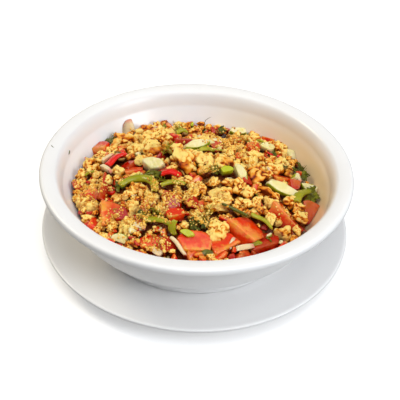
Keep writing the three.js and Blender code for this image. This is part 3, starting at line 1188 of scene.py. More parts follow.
@dataclass(frozen=True)
class TomatoMaker(Maker):
    """Wedges and dice of tomato."""

    dent: float = 0.030
    dent_scale: float = 5.0
    grain: float = 0.014
    grain_scale: Triple = (22.0, 8.0, 22.0)
    streak: float = 0.25
    streak_scale: Triple = (12.0, 4.0, 12.0)
    inner_depth: float = 0.16

    def make(self, ball: Form, seed: int) -> Form:
        """One piece of a wedge: flat cuts on most sides and the skin behind or below.

        Args:
            ball: The ball whose corners are moved.
            seed: Which piece is made.

        Returns:
            The form at unit length, with the marks "skin" and "inner".
        """
        form = self.wedge(ball, seed) if seed % 3 else self.dice(ball, seed)
        dents = self.dent * layered_noise(form.corners * self.dent_scale, seed + 2.0)
        grain = self.grain * layered_noise(form.corners * np.array(self.grain_scale), seed + 4.0)
        rough = 1 + dents + grain * (1 - form.marks["skin"])
        form.corners = form.corners * rough[:, None]
        top = form.corners[:, 2] - form.corners[:, 2].max()
        streaks = layered_noise(form.corners * np.array(self.streak_scale), seed + 6.0)
        form.marks["inner"] = np.clip(1 + top / self.inner_depth + self.streak * streaks, 0, 1)
        return form.to_unit_length()

    @staticmethod
    def wedge(ball: Form, seed: int) -> Form:
        """Two cut faces that meet in a ridge, with the skin below.

        Args:
            ball: The ball whose corners are moved.
            seed: Which piece is made.

        Returns:
            The form, with the mark "skin".
        """
        sway = partial(wobble, seed)
        planes = [
            ((0.15 * sway(1), 0.6 + 0.25 * sway(2), 0.9), 0.20 + 0.02 * sway(13)),
            ((0.15 * sway(3), -0.8 + 0.2 * sway(4), 0.7), 0.20 + 0.02 * sway(14)),
            ((1.0, 0.45 * sway(5), 0.3 * sway(6)), 0.40),
            ((-1.0, 0.45 * sway(7), 0.3 * sway(8)), 0.38),
            ((0.5 * sway(9), -1.0, -0.4), 0.27),
        ]
        return chunk_form(ball, planes, (0.0, 0.0, 0.42), 0.70)

    @staticmethod
    def dice(ball: Form, seed: int) -> Form:
        """A flat cut on top and uneven cuts round it, with the skin behind.

        Args:
            ball: The ball whose corners are moved.
            seed: Which piece is made.

        Returns:
            The form, with the mark "skin".
        """
        sway = partial(wobble, seed)
        planes = [
            ((0.2 * sway(1), -0.25 + 0.3 * sway(2), 1.0), 0.22 + 0.03 * sway(13)),
            ((0.2 * sway(3), -0.55 + 0.3 * sway(4), -0.8), 0.24),
        ]
        for side in range(4):
            turn = 2 * math.pi * (side + 0.32 * sway(20 + side)) / 4 + 0.5
            lean, reach = 0.25 * sway(30 + side), 0.36 + 0.05 * sway(40 + side)
            planes.append(((0.72 * math.cos(turn), math.sin(turn), lean), reach))
        return chunk_form(ball, planes, (0.0, -0.5, 0.3), 0.86)


@dataclass(frozen=True)
class CucumberMaker(Maker):
    """Pieces of cucumber slice with rind on the round side."""

    sharpness: float = 14.0
    dent: float = 0.05
    dent_scale: float = 7.0

    def make(self, ball: Form, seed: int) -> Form:
        """One piece: two flat faces, uneven cuts and a round rind.

        Args:
            ball: The ball whose corners are moved.
            seed: Which piece is made.

        Returns:
            The form at unit length, with the mark "skin".
        """
        sway = partial(wobble, seed)
        planes = [
            ((0.15 * sway(1), 0.2 * sway(2), 1.0), 0.18 + 0.03 * sway(3)),
            ((0.1 * sway(4), 0.25 * sway(5), -1.0), 0.17),
            ((0.3 * sway(6), -1.0, 0.3 * sway(7)), 0.20 + 0.04 * sway(8)),
            ((1.0, -0.3 + 0.6 * sway(9), 0.2), 0.40),
            ((-1.0, -0.2 + 0.6 * sway(10), -0.2), 0.38),
            ((0.7 * sway(11), -0.8, 0.5), 0.26),
        ]
        form = chunk_form(ball, planes, (0.0, -0.35, 0.0), 0.66, self.sharpness)
        dents = self.dent * layered_noise(form.corners * self.dent_scale, seed + 2.0)
        form.corners = form.corners * (1 + dents)[:, None]
        return form.to_unit_length()


@dataclass(frozen=True)
class StripMaker(Maker):
    """Bent strips. Width and thickness are shares of the length, the bend is in radians."""

    width: float
    thickness: float
    bend: float
    twist: float = 0.7
    taper: float = 0.35
    dish: float = 0.25
    ripple: float = 0.03
    rows: int = 22
    columns: int = 7

    def make(self, ball: Form, seed: int) -> Form:
        """One strip, bent in its own plane and a little twisted.

        Args:
            ball: Not used; strips are drawn as sheets.
            seed: Which strip is made.

        Returns:
            The form at unit length, with the marks "across" and "pale".
        """
        bend = self.bend * (0.7 + 0.6 * chance(seed, 1))
        twist = self.twist * (chance(seed, 2) - 0.5)
        radius = 1 / bend

        def place(along: Points, across: Points) -> Points:
            """The middle of the strip's sheet.

            Args:
                along: Shares of the way along it.
                across: Shares of the way across it.

            Returns:
                The points.
            """
            turn = along * bend / 2
            side = across * self.width / 2 * (1 - self.taper * along**2)
            out = radius + side * np.cos(twist * along)
            dip = self.dish * self.width * across**2
            wave = self.ripple * np.sin(3 * along + seed)
            z = side * np.sin(twist * along) - dip + wave
            return np.stack([out * np.sin(turn), out * np.cos(turn) - radius, z], axis=1)

        return sheet_form(self.rows, self.columns, place, self.thickness).to_unit_length()


@dataclass(frozen=True)
class PepperMaker(Maker):
    """Short bent strips of pepper and, for one number, half a ring."""

    strips: StripMaker
    ring: StripMaker = StripMaker(0.14, 0.08, 2.4)
    ring_seed: int = 5

    def make(self, ball: Form, seed: int) -> Form:
        """A strip, or half a ring for its number."""
        return (self.ring if seed == self.ring_seed else self.strips).make(ball, seed)


@dataclass(frozen=True)
class OnionMaker(Maker):
    """Slivers and thick cuts of onion."""

    strips: StripMaker = StripMaker(0.24, 0.09, 0.6)
    thick_seed: int = 4
    fineness: int = 4

    def make(self, ball: Form, seed: int) -> Form:
        """A bent sliver, or for one number a thick cut.

        Args:
            ball: Not used; a thick cut takes a ball of its own.
            seed: Which piece is made.

        Returns:
            The form at unit length, with the mark "across".
        """
        if seed < self.thick_seed:
            return self.strips.make(ball, seed)
        planes = [
            ((0.0, 0.1, 1.0), 0.17),
            ((0.1, 0.0, -1.0), 0.17),
            ((0.1, -1.0, 0.1), 0.24),
            ((1.0, 0.15, 0.1), 0.46),
            ((-1.0, 0.1, 0.0), 0.46),
        ]
        form = chunk_form(ball_form(self.fineness), planes, (0.0, -1.2, 0.0), 1.46)
        form.marks["across"] = np.clip(-0.6 + form.corners[:, 0] * 3.2, -1, 1)
        form.marks["pale"] = np.zeros(len(form.corners))
        return form.to_unit_length()


@dataclass(frozen=True)
class LeafMaker(Maker):
    """Small curled herb leaves with cut edges."""

    headings: Triple = (-0.85, 0.0, 0.85)
    length: float = 0.62
    width: float = 0.20
    thickness: float = 0.03
    jag: float = 0.45
    jag_waves: float = 11.0
    ripple: float = 0.06

    def make(self, ball: Form, seed: int) -> Form:
        """One leaf of three joined leaflets.

        Args:
            ball: Not used; leaves are drawn as sheets.
            seed: Which leaf is made.

        Returns:
            The form at unit length.
        """
        leaflets = [
            self.leaflet(heading, seed * 7 + number)
            for number, heading in enumerate(self.headings)
        ]
        form = joined(leaflets)
        form.marks["pale"] = np.zeros(len(form.corners))
        return form.to_unit_length()

    def leaflet(self, heading: float, key: int) -> Form:
        """One curled leaflet.

        Args:
            heading: Where it points, in radians.
            key: Which leaflet it is.

        Returns:
            The form.
        """
        curl = 0.5 + 0.7 * chance(key, 1)
        cosine, sine = math.cos(heading), math.sin(heading)

        def place(along: Points, across: Points) -> Points:
            """The middle of the leaflet's sheet.

            Args:
                along: Shares of the way along it.
                across: Shares of the way across it.

            Returns:
                The points.
            """
            reach = (along + 1) / 2
            belly = np.sin(np.clip(reach, 0, 1) ** 0.7 * math.pi * 0.93 + 0.12)
            jags = 1 + self.jag * np.sin(along * self.jag_waves + key)
            x = self.length * reach
            y = (self.width * belly * jags + 0.012) * across
            z = 0.5 * curl * reach**2 * (1.2 - reach) - 0.5 * curl * abs(y)
            z = z + self.ripple * np.sin(self.jag_waves * reach + 4 * across + key)
            return np.stack([x * cosine - y * sine, x * sine + y * cosine, z], axis=1)

        return sheet_form(12, 6, place, self.thickness)


@dataclass(frozen=True)
class DillMaker(Maker):
    """Feathery sprigs of dill."""

    stem_radius: float = 0.022
    thread_radius: float = 0.012
    threads: int = 16
    joints: int = 8

    def make(self, ball: Form, seed: int) -> Form:
        """One sprig: a stem with fine threads to both sides.

        Args:
            ball: Not used; sprigs are drawn as tubes.
            seed: Which sprig is made.

        Returns:
            The form at unit length.
        """
        share = np.linspace(0, 1, self.joints + 1)
        sway, rise = 0.12 * np.sin(2.2 * share + seed), 0.1 * np.sin(3 * share)
        stem = np.stack([share, sway, rise], axis=1)
        tubes = [tube_form(stem, self.stem_radius * (1 - 0.6 * share), 4)]
        step = np.linspace(0, 1, 4)[:, None]
        curl = np.array([0, 0, 0.1]) * step**2
        for thread in range(self.threads):
            start = stem[1 + thread // 2 % self.joints]
            side = 1 if thread % 2 else -1
            heading = side * (0.5 + 0.6 * chance(seed, thread))
            length = 0.22 + 0.2 * chance(seed, 30 + thread)
            way = np.array([math.cos(heading), math.sin(heading), 0.5 * chance(seed, 60 + thread)])
            path = start + step * way * length + curl
            tubes.append(tube_form(path, np.full(4, self.thread_radius), 3))
        return joined(tubes).to_unit_length()


# ---------------------------------------------------------------- the heap


@dataclass(frozen=True)
class Traits:
    """A kind's name, and its width and thickness as shares of its length.

    Of the small pieces it makes up the given share, and they are slighter by the last factor.
    """

    name: str
    width: float
    thickness: float
    share: float
    slight: float = 1.0


class Kind(Enum):
    """The kinds of food that lie on the heap, in the order that a draw goes through them."""

    WALNUT = Traits("walnut", 0.75, 0.58, 0.815)
    TOMATO = Traits("tomato", 0.75, 0.55, 0.115)
    CUCUMBER = Traits("cucumber", 0.7, 0.38, 0.03, slight=0.65)
    GREEN_PEPPER = Traits("green_pepper", 0.4, 0.16, 0.015)
    RED_PEPPER = Traits("red_pepper", 0.4, 0.16, 0.01)
    ONION = Traits("onion", 0.4, 0.12, 0.01, slight=0.65)
    LEAF = Traits("leaf", 0.8, 0.22, 0.005, slight=0.65)
    DILL = Traits("dill", 0.5, 0.12, 0.0)


@dataclass(frozen=True)
class Bit:
    """One piece of food and where it lies on the heap, in millimetres and degrees."""

    kind: Kind
    x: float
    y: float
    length: float
    turn: float = 0.0
    tilt: float = 0.0
    lift: float = 0.0
    shade: float = 0.4
    form: int = 0
    width: float = 1.0
    height: float = 1.0
    nod: float = 0.0


@dataclass(frozen=True)
class HeapShape:
    """The bare heap that the solids were laid on, in millimetres."""

    radius: float = 80.0
    edge_z: float = 36.0
    rise: float = 17.0
    lean: Span = (-0.02, -0.02)
    swell: float = 1.2
    lump_sizes: Span = (14.0, 15.0)
    lump_shifts: Span = (1.0, 0.5)
    slope_step: float = 4.0

    def height(self, x: Points, y: Points) -> Points:
        """Height of the bare heap over the table.

        Args:
            x: The places' first coordinates.
            y: Their second ones.

        Returns:
            One height a place.
        """
        across = np.hypot(x, y) / self.radius
        wave_x = np.sin(x / self.lump_sizes[0] + self.lump_shifts[0])
        wave_y = np.cos(y / self.lump_sizes[1] - self.lump_shifts[1])
        lean = self.lean[0] * x + self.lean[1] * y
        return self.edge_z + self.rise * (1 - across**2) + lean + self.swell * (wave_x * wave_y)

    def slope(self, x: float, y: float) -> Span:
        """How steep the bare heap is.

        Args:
            x: The place's first coordinate.
            y: Its second one.

        Returns:
            How much it rises along X and along Y.
        """
        s = self.slope_step
        rise_x = (self.height(x + s, y) - self.height(x - s, y)) / (2 * s)
        rise_y = (self.height(x, y + s) - self.height(x, y - s)) / (2 * s)
        return float(rise_x), float(rise_y)


@dataclass(frozen=True)
class Footprint:
    """What a lens-shaped piece covers of the relief: cells, offsets from it and thickness."""

    window: tuple[slice, slice]
    inside: Points
    dx: Points
    dy: Points
    thick: Points


class Relief:
    """The height of everything laid so far, on a grid, in millimetres."""

    cell = 0.7
    blur = 9
    reach = 92.0
    least_cells = 4
    steepest = 0.6
    gap_start = 0.3
    gap_depth = 3.6

    def __init__(self, shape: HeapShape, bowl: Bowl, bed_depth: float) -> None:
        """Starts with the bed and the bowl's inside.

        Args:
            shape: The bare heap.
            bowl: The bowl that holds it.
            bed_depth: How far the bed lies under the bare heap.
        """
        self.count = int(2 * self.reach / self.cell) + 1
        line = np.linspace(-self.reach, self.reach, self.count)
        self.x, self.y = np.meshgrid(line, line, indexing="ij")
        bed = shape.height(self.x, self.y) - bed_depth
        self.height = np.maximum(bed, bowl.wall_height(np.hypot(self.x, self.y)))
        self.chosen = self.height.copy()

    def cells(self, spots: Points) -> tuple[Points, Points]:
        """The cells that points lie in, as rows and columns."""
        cells = np.rint((spots[:, :2] + self.reach) / self.cell).astype(int)
        return tuple(np.clip(cells, 0, self.count - 1).T)

    def window(self, x: float, y: float, reach: float) -> tuple[slice, slice]:
        """The part of the grid within a reach of a place.

        Args:
            x: The place's first coordinate.
            y: Its second one.
            reach: The reach.

        Returns:
            The rows and the columns.
        """
        lows = (int((middle - reach + self.reach) / self.cell) for middle in (x, y))
        highs = (int((middle + reach + self.reach) / self.cell) + 2 for middle in (x, y))
        return tuple(
            slice(max(low, 0), min(high, self.count)) for low, high in zip(lows, highs)
        )

    def footprint(self, x: float, y: float, half: Triple, turn: float) -> Footprint:
        """What a lens-shaped piece covers.

        Args:
            x: Its middle's first coordinate.
            y: Its middle's second one.
            half: Its half length, width and thickness.
            turn: Its turn about the upright, in radians.

        Returns:
            The footprint.
        """
        window = self.window(x, y, max(half[:2]))
        dx, dy = self.x[window] - x, self.y[window] - y
        cosine, sine = math.cos(turn), math.sin(turn)
        along = (dx * cosine + dy * sine) / half[0]
        across = (dy * cosine - dx * sine) / half[1]
        square = along**2 + across**2
        thick = half[2] * np.sqrt(np.clip(1 - square, 0, 1))
        return Footprint(window, square < 1, dx, dy, thick)

    def rest(self, covered: Footprint, sink: float) -> Triple:
        """Where a piece comes to rest.

        Args:
            covered: What it covers.
            sink: Share of its footprint that may sink into what lies below.

        Returns:
            Height of its middle and the ground's slope along X and Y under it.
        """
        inside = covered.inside
        ground = self.height[covered.window][inside]
        if len(ground) < self.least_cells:
            return float(self.height[covered.window].max()), 0.0, 0.0
        u, v = covered.dx[inside], covered.dy[inside]
        table = np.stack([np.ones_like(u), u, v], axis=1)
        fit = np.linalg.lstsq(table, ground, rcond=None)[0]
        steep = float(np.hypot(fit[1], fit[2]))
        soften = min(1.0, self.steepest / steep) if steep > 0 else 1.0
        slope_x, slope_y = float(fit[1]) * soften, float(fit[2]) * soften
        needed = ground + covered.thick[inside] - slope_x * u - slope_y * v
        return float(np.quantile(needed, 1 - sink)), slope_x, slope_y

    def cover(self, covered: Footprint, z: float, slope_x: float, slope_y: float) -> None:
        """Adds a piece to the relief.

        Args:
            covered: What it covers.
            z: Height of its middle.
            slope_x: How much it rises along X.
            slope_y: How much it rises along Y.
        """
        ground = self.height[covered.window]
        top = z + slope_x * covered.dx + slope_y * covered.dy + covered.thick
        self.height[covered.window] = np.where(covered.inside, np.maximum(ground, top), ground)

    def cover_mesh(self, mesh: Mesh) -> None:
        """Adds the corners and face middles of a finished mesh.

        Args:
            mesh: The mesh, in metres.
        """
        for holder, key in ((mesh.vertices, "co"), (mesh.polygons, "center")):
            spots = read_vectors(holder, key) / MM
            np.maximum.at(self.height, self.cells(spots), spots[:, 2])
        self.chosen = self.height.copy()

    def depth_of(self, spots: Points) -> Points:
        """How deep points lie between what is round them, from 0 to 1.

        Args:
            spots: The points, in millimetres.

        Returns:
            One value a point: 0 on top and 1 at the bottom of a gap.
        """
        window = np.ones(self.blur) / self.blur
        even = self.height
        for axis in (0, 1):
            even = np.apply_along_axis(np.convolve, axis, even, window, "same")
        below = even[self.cells(spots)] - spots[:, 2]
        return np.clip((below - self.gap_start) / self.gap_depth, 0, 1)


# ---------------------------------------------------------------- what lies where


def bits(kind: Kind, *rows: tuple[float, ...]) -> tuple[Bit, ...]:
    """Pieces of one kind, each a row in the order of a bit's fields."""
    return tuple(Bit(kind, *row) for row in rows)


# x, y, length, turn, tilt, lift, shade, form, width, height, nod
TOP_WALNUTS = bits(
    Kind.WALNUT,
    (-8, 7, 25, -68, 12, 2, 0.35, 1, 0.9),
    (-51, 46, 21, -15, 15, 1.5, 0.6, 2),
    (-66, 29, 13, 10, 12, 0.5),
    (-30, 51, 19, 20, 12, 0.5, 0.35, 3),
    (-39, -35, 17, -52, 10, 0.5, 0.4, 4, 0.8),
    (-41, -49, 16, 58, 9, 0, 0.15, 5),
    (16, -21, 17, -4, 11, 1, 0.35, 6),
    (30, -27, 12, 12, 10, 0.5, 0.1, 7),
    (27, -11, 17, 78, 12, 1, 0.3),
    (39, 5, 18, 60, 12, 1.5, 0.9, 5),
    (14, -51, 18, 74, 12, 0.5, 0.15, 3),
    (38, 27, 15, 15, 12, 0, 0.35, 1),
)

WALNUTS = bits(
    Kind.WALNUT,
    (61, -15, 12, 40, 0, 0.5, 0.3, 4),
    (66, -19, 9, 0, 0, 1, 0.5, 1),
    (-39, 66, 13, 20, 0, 1.5, 0.3),
    (-31, 69, 14, -10, 0, 1.5, 0.5, 4),
    (-33, 42, 15, 30, 0, 1, 0.35, 2),
    (-23, 42, 14, -30, 0, 0.5, 0.3, 9),
    (-21, 55, 12, 40, 0, 1, 0.1, 6),
    (-41, 31, 17, -15, 0, 0.5, 0, 7),
    (-32, 31, 15, 25, 0, 1, 0.05, 10),
    (-38, 15, 11, 60, 0, 0, 0.1, 3),
    (-52, 4, 12, -35, 0, 1, 0.1, 8, 0.8),
    (5, 12, 15, 10, 0, 1, 0.25, 6),
    (17, 10, 16, -15, 0, 0.5, 0.75, 2),
    (-16, 0, 8, 10, 0, 1, 0.15, 11),
    (-15, 26, 12, 20, 0, 0.5, 0.1, 1),
    (-39, -17, 12, 80, 0, 0.5, 1, 6),
    (-43, -23, 10, 20, 0, 0, 0.15),
    (-73, 17, 13, 70, 0, 2.5, 0.3, 5),
    (-76, 5, 11, 80, 0, 2, 0.15, 9),
    (-69, 9, 11, 10, 0, 1, 0.4, 2),
    (-66, 20, 10, -40, 0, 1, 0.3, 11),
    (-66, -11, 11, 20, 0, 0.5, 0.5),
    (-65, -28, 15, -75, 0, 0.5, 0.15, 4, 0.8),
    (-4, -26, 13, 50, 0, 1, 0.25, 5),
    (2, -19, 10, 10, 0, 0.5, 0.2, 8),
    (13, -31, 17, -5, 0, 0, 0.3, 10, 0.7),
    (33, -17, 11, 60, 0, 0.5, 0.3, 3),
    (46, 8, 11, 30, 0, 0.5, 0.15, 9),
    (35, 19, 16, -20, 0, 0.5, 0.3, 4),
    (52, 19, 16, 30, 0, 0.5, 0.3, 7),
    (59, 52, 13, -20, 0, 2.5, 0.6, 3),
    (46, -12, 19, -38, 0, 0.5, 0.7, 5, 0.5, 0.8),
    (48, -22, 10, 20, 0, 0, 0.1, 2),
    (38, -24, 11, 70, 0, 0.5, 0.3),
    (54, -45, 13, 60, 0, 1, 0.5, 2),
    (46, -38, 10, 85, 0, 2, 0.05, 5, 0.8),
    (66, -30, 10, -30, 0, 3, 0.2, 1),
    (29, 38, 12, 25),
    (19, 45, 10, -30, 0, 0, 0.35, 6),
    (22, 30, 12, 50, 0, 0, 0.3, 11),
    (5, 47, 12, 70, 0, 0.5, 0.2, 8),
    (-3, 63, 11, 20, 0, 1, 0.3, 5),
    (40, 54, 11, 20, 0, 1.5, 0.2, 1),
    (-58, -47, 8, 20, 0, 0, 0.4, 3),
    (-50, -49, 8, 60, 0, 2, 0.3, 9),
    (21, -10, 11, 20, 0, 0, 0.35, 7),
    (-12, -12, 10, 40, 0, 0, 0.25, 10),
    (58, 30, 12, -20, 0, 0.5, 0.25, 8),
    (-58, -6, 9, 50, 0, 1, 0.3, 2),
)

TOMATOES = bits(
    Kind.TOMATO,
    (30, -47, 24, -38, 8, 1, 0.1, 1),
    (57, -31, 25, -42, 6, 1, 0.45, 4, 0.9),
    (42, -54, 21, 24, 18, 0, 0.85, 3, 0.9),
    (1, -61, 22, 8, 24, 0.5, 0.1),
    (17, -60, 21, 34, 24, 1.5, 0, 7, 0.85),
    (-24, -62, 18, -12, 22, 0.5, 0.4, 6),
    (-15, -64, 12, 80, 20, 0.5, 1, 5),
    (-52, -37, 23, -78, 4, 1, 0.2, 1, 0.95),
    (-60, -13, 26, 88, 0, 0.5, 0.85, 1, 0.55),
    (-66, -19, 11, 30, 10, 0, 0.5, 2),
    (-68, 38, 15, -14, 30, 4, 0.5),
    (-10, 38, 14, 0, 20, 1.5, 0.9, 7),
    (73, -20, 17, -20, 20, -0.5, 0.75, 5),
    (50, 59, 10, -15, 30, 3, 0.5, 3),
    (-12, -41, 12, 20, 20, 1, 0.45, 4),
    (-2, -33, 9, 50, 20, 1, 1, 5),
    (-44, -41, 10, 70, 10, 0, 1, 2),
    (-35, -47, 14, 70, 20, 0, 1, 7),
    (32, -6, 10, 80, 20, 0, 1, 5),
    (-19, 2, 15, 20, 20, -1, 1, 3),
    (57, 9, 16, 20, 15, 0.5, 0.05, 4, 0.8),
    (64, 3, 8, 0, 20, 1, 0.7, 2),
    (68, 14, 5, 30, 20, 5, 0.6, 3),
    (-45, 10, 12, 60, 20, 0, 0.9, 7),
    (-41, 3, 12, 10, 20, 0, 0.5, 4),
    (50, -60, 14, 15, 25, -0.5, 0.6, 1),
    (12, 32, 10, 0, 20, -0.5, 0.8, 5),
    (-60, -52, 13, -50, 20, -0.5, 0.4, 6),
    (38, 40, 10, 20, 20, -0.5, 0.6, 2),
)

CUCUMBERS = bits(
    Kind.CUCUMBER,
    (-28, 6, 15, -8, 20, 1.5, 0.4, 0, 0.85, 1.6),
    (56, -5, 23, 166, -34, 1.5, 0.4, 2, 0.6, 0.55),
    (74, 4, 13, 160, -30, 2, 0.4, 3, 0.9, 1.2),
    (-1, 30, 19, 206, -34, 1.5, 0.4, 4, 0.65, 0.8),
    (11, 37, 13, 36, 24, 1.5, 0.4, 5, 0.7, 0.9),
    (28, 66, 13, 185, -34, 2, 0.4, 6, 0.8, 1.4),
    (28, -1, 15, -60, 20, 2, 0.4, 1, 0.75, 1.4),
    (66, 42, 11, -10, 24, 2, 0.4, 0, 1, 1.4),
    (48, 44, 12, 10, 30, 1.5, 0.4, 4, 1, 1.2),
    (-44, -57, 11, -10, 20, 0.5, 0.4, 1, 1, 1.5),
    (-4, -56, 9, -20, 20, 2, 0.95, 4, 0.9, 1.9),
    (19, -1, 9, 10, 30, 2.5, 1, 3, 1.2, 2),
    (66, 10, 8, 60, 20, 3.5, 0.4, 0, 1, 1.4),
    (-35, -51, 10, 30, 20, 0, 0.4, 5, 1, 1.3),
)

GREEN_PEPPERS = bits(
    Kind.GREEN_PEPPER,
    (-35, -14, 28, -21, 12, 2.5, 0.3, 4),
    (-15, -16, 17, 5, -10, 1.5, 0.1, 1),
    (-22, -48, 20, -15, -30, 2, 0.3, 0, 1.1),
    (-13, -54, 10, 90, 0, 3, 0.2, 0, 1.8, 1, 50),
    (41, -41, 17, -35, -30, 2, 0.2),
    (68, -8, 22, 56, -20, 3.5, 0.1, 1, 1.2),
    (-12, 54, 9, 20, 20, 2.5, 0, 0, 2, 2),
    (12, 23, 10, 20, -20, 1.5, 0.6, 1, 1.4),
    (6, 24, 11, 10, 20, 1, 0, 2, 1.5),
    (37, -58, 10, 30, 20, 0.5, 0.3, 0, 1.8),
    (8, -68, 10, 10, 20, 0, 0.9, 2, 1.8),
    (24, -36, 19, -26, 0, 2.5, 1, 3, 0.5, 0.7),
    (74, -12, 14, 80, 0, 0.5, 0.2, 1),
    (-49, -16, 10, 80, 10, 1, 1, 2),
    (-64, 47, 12, -30, 20, 3.5, 1, 1, 1.4),
    (-28, -4, 13, -10, 10, 0, 0.9, 0, 1.4),
)

RED_PEPPERS = bits(
    Kind.RED_PEPPER,
    (-55, 15, 17, 42, -28, 3, 0.4, 0, 2.4, 1.6),
    (-16, -7, 13, -10, -24, 3, 0.4, 1, 2.8, 2),
)

ONIONS = bits(
    Kind.ONION,
    (-60, 18, 10, 44, 20, 2, 0.4, 3, 0.5),
    (-59, 4, 11, -50, 10, 2, 0.4, 3, 0.5),
    (-9, -65, 16, -52, -30, 2, 0.4, 2, 0.75),
    (30, -62, 12, 18, 20, 1.5, 0.4, 3, 0.55, 0.6),
    (22, -60, 9, 70, 20, 1, 0.4, 3, 0.5, 0.6),
    (-51, 63, 13, 88, 0, 4, 0.4, 3, 1.6, 0.7, 70),
    (-75, 42, 10, 84, 0, 3, 0.4, 3, 1, 0.7, 52),
    (-33, -51, 8, -20, 10, 0.5, 0.4, 3, 0.9),
    (67, 9, 7, -60, 20, 2.5, 0.4, 3, 0.8),
)

LEAVES = bits(
    Kind.LEAF,
    (71, 22, 7, 80, 30, 3.5, 0.9, 1),
    (72, 14, 6, 10, 30, 3.5, 0.8, 2),
    (70, 28, 6, 150, 30, 3, 0.9),
    (73, 18, 6, 200, 20, 3.5, 0.8, 3),
    (66, 18, 5, 120, 20, 3.5, 0.9, 1),
    (76, -4, 9, 10, 30, 3, 0.6, 3),
    (75, -9, 8, -70, 30, 2.5, 0.8, 1),
    (-26, -8, 7, -60, 10, 1.5, 0.9, 2),
    (0, -48, 8, 20, 20, 0.5, 1, 2),
    (6, -47, 8, 120, 20, 1, 0.9, 1),
    (-48, -14, 6, 80, 20, 1.5, 0.9, 1),
    (-59, 49, 6, -60, 20, 4, 0.9, 3),
    (17, 62, 7, 10, 20, 3, 1, 2),
    (12, -3, 6, 0, 10, 1.5, 0.8),
    (-32, -44, 7, 30, 10, 1, 0.8),
)

SPRIGS = bits(
    Kind.DILL,
    (-21, 22, 13, 60, 0, 3.5, 0, 0, 1, 1, 18),
    (-19, 20, 12, 130, 0, 3.5, 0.1, 1, 1, 1, 14),
    (-14, 57, 12, 20, 0, 4, 0.3, 1, 1, 1, 30),
    (-15, 59, 12, 120, 0, 3.5, 0.6, 2, 1, 1, 30),
    (4, -44, 12, 200, 0, 2, 0.5, 2, 1, 1, 10),
    (8, -40, 12, 100, 0, 2, 0.2, 0, 1, 1, 10),
    (-24, -41, 14, 160, 0, 3, 0.2, 1, 1, 1, 8),
    (-30, -45, 12, 30, 0, 2.5, 0.3, 0, 1, 1, 8),
    (6, -6, 12, 20, 0, 3, 0.3, 0, 1, 1, 10),
    (13, -3, 11, 150, 0, 3, 0.5, 2, 1, 1, 10),
    (72, 24, 12, 95, 0, 4, 0.7, 2),
    (-62, 50, 9, 60, 0, 4.5, 0.7, 0, 1, 1, 20),
    (31, 46, 11, 10, 0, 2.5, 0.4, 1, 1, 1, 5),
    (-27, -7, 11, 250, 0, 2.5, 0.6, 2, 1, 1, 5),
    (-24, -16, 10, 30, 0, 3, 0.1, 1, 1, 1, 5),
)


class Draw(IntEnum):
    """What a number is drawn for in a round of filling."""

    KIND = 3
    LENGTH = 4
    TURN = 5
    TILT = 6
    SHADE = 7
    FORM = 8
    FAR = 9
    OVER = 10
    JUICY = 11


@dataclass(frozen=True)
class Filling:
    """One round of small pieces dropped between the large ones, in millimetres."""

    tries: int
    smallest: float
    largest: float
    room: float
    edge_room: float
    sink: float = 0.30
    radius: float = 84.0
    edge_from: float = 60.0
    edge_width: float = 14.0
    over_chosen: float = 0.1
    tilt: float = 0.9
    forms: int = 8


FILLINGS: tuple[Filling, ...] = (
    Filling(tries=900, smallest=9.0, largest=14.0, room=3.8, edge_room=3.0),
    Filling(tries=1600, smallest=6.5, largest=9.0, room=3.8, edge_room=3.5),
    Filling(tries=2600, smallest=4.4, largest=6.5, room=3.4, edge_room=3.5),
    Filling(tries=2600, smallest=3.4, largest=5.0, room=2.6, edge_room=3.0, sink=0.6),
)


@dataclass(frozen=True)
class JuicyPlaces:
    """Where more tomato lies: in front, on the left edge and at one spot, in millimetres."""

    front_y: float = -47.0
    left: Span = (-50.0, 2.0)
    spot: Span = (-20.0, -32.0)
    spot_reach: float = 13.0
    share: float = 0.55

    def holds(self, x: float, y: float) -> bool:
        """Whether a place is one of them."""
        by_spot = math.hypot(x - self.spot[0], y - self.spot[1]) < self.spot_reach
        return y < self.front_y or (x < self.left[0] and y < self.left[1]) or by_spot


@dataclass(frozen=True)
class Placed:
    """A bit with its worked-out place in metres and its turn."""

    bit: Bit
    place: Triple
    turn: Triple


def leaning(slope_x: float, slope_y: float, own: Matrix) -> Triple:
    """The turn of a piece that leans with the ground under it.

    Args:
        slope_x: How much the ground rises along X.
        slope_y: How much it rises along Y.
        own: The piece's turn on level ground.

    Returns:
        The whole turn, as angles.
    """
    normal = Vector((-slope_x, -slope_y, 1.0)).normalized()
    lean = Vector((0, 0, 1)).rotation_difference(normal).to_matrix().to_4x4()
    return tuple((lean @ own).to_euler())


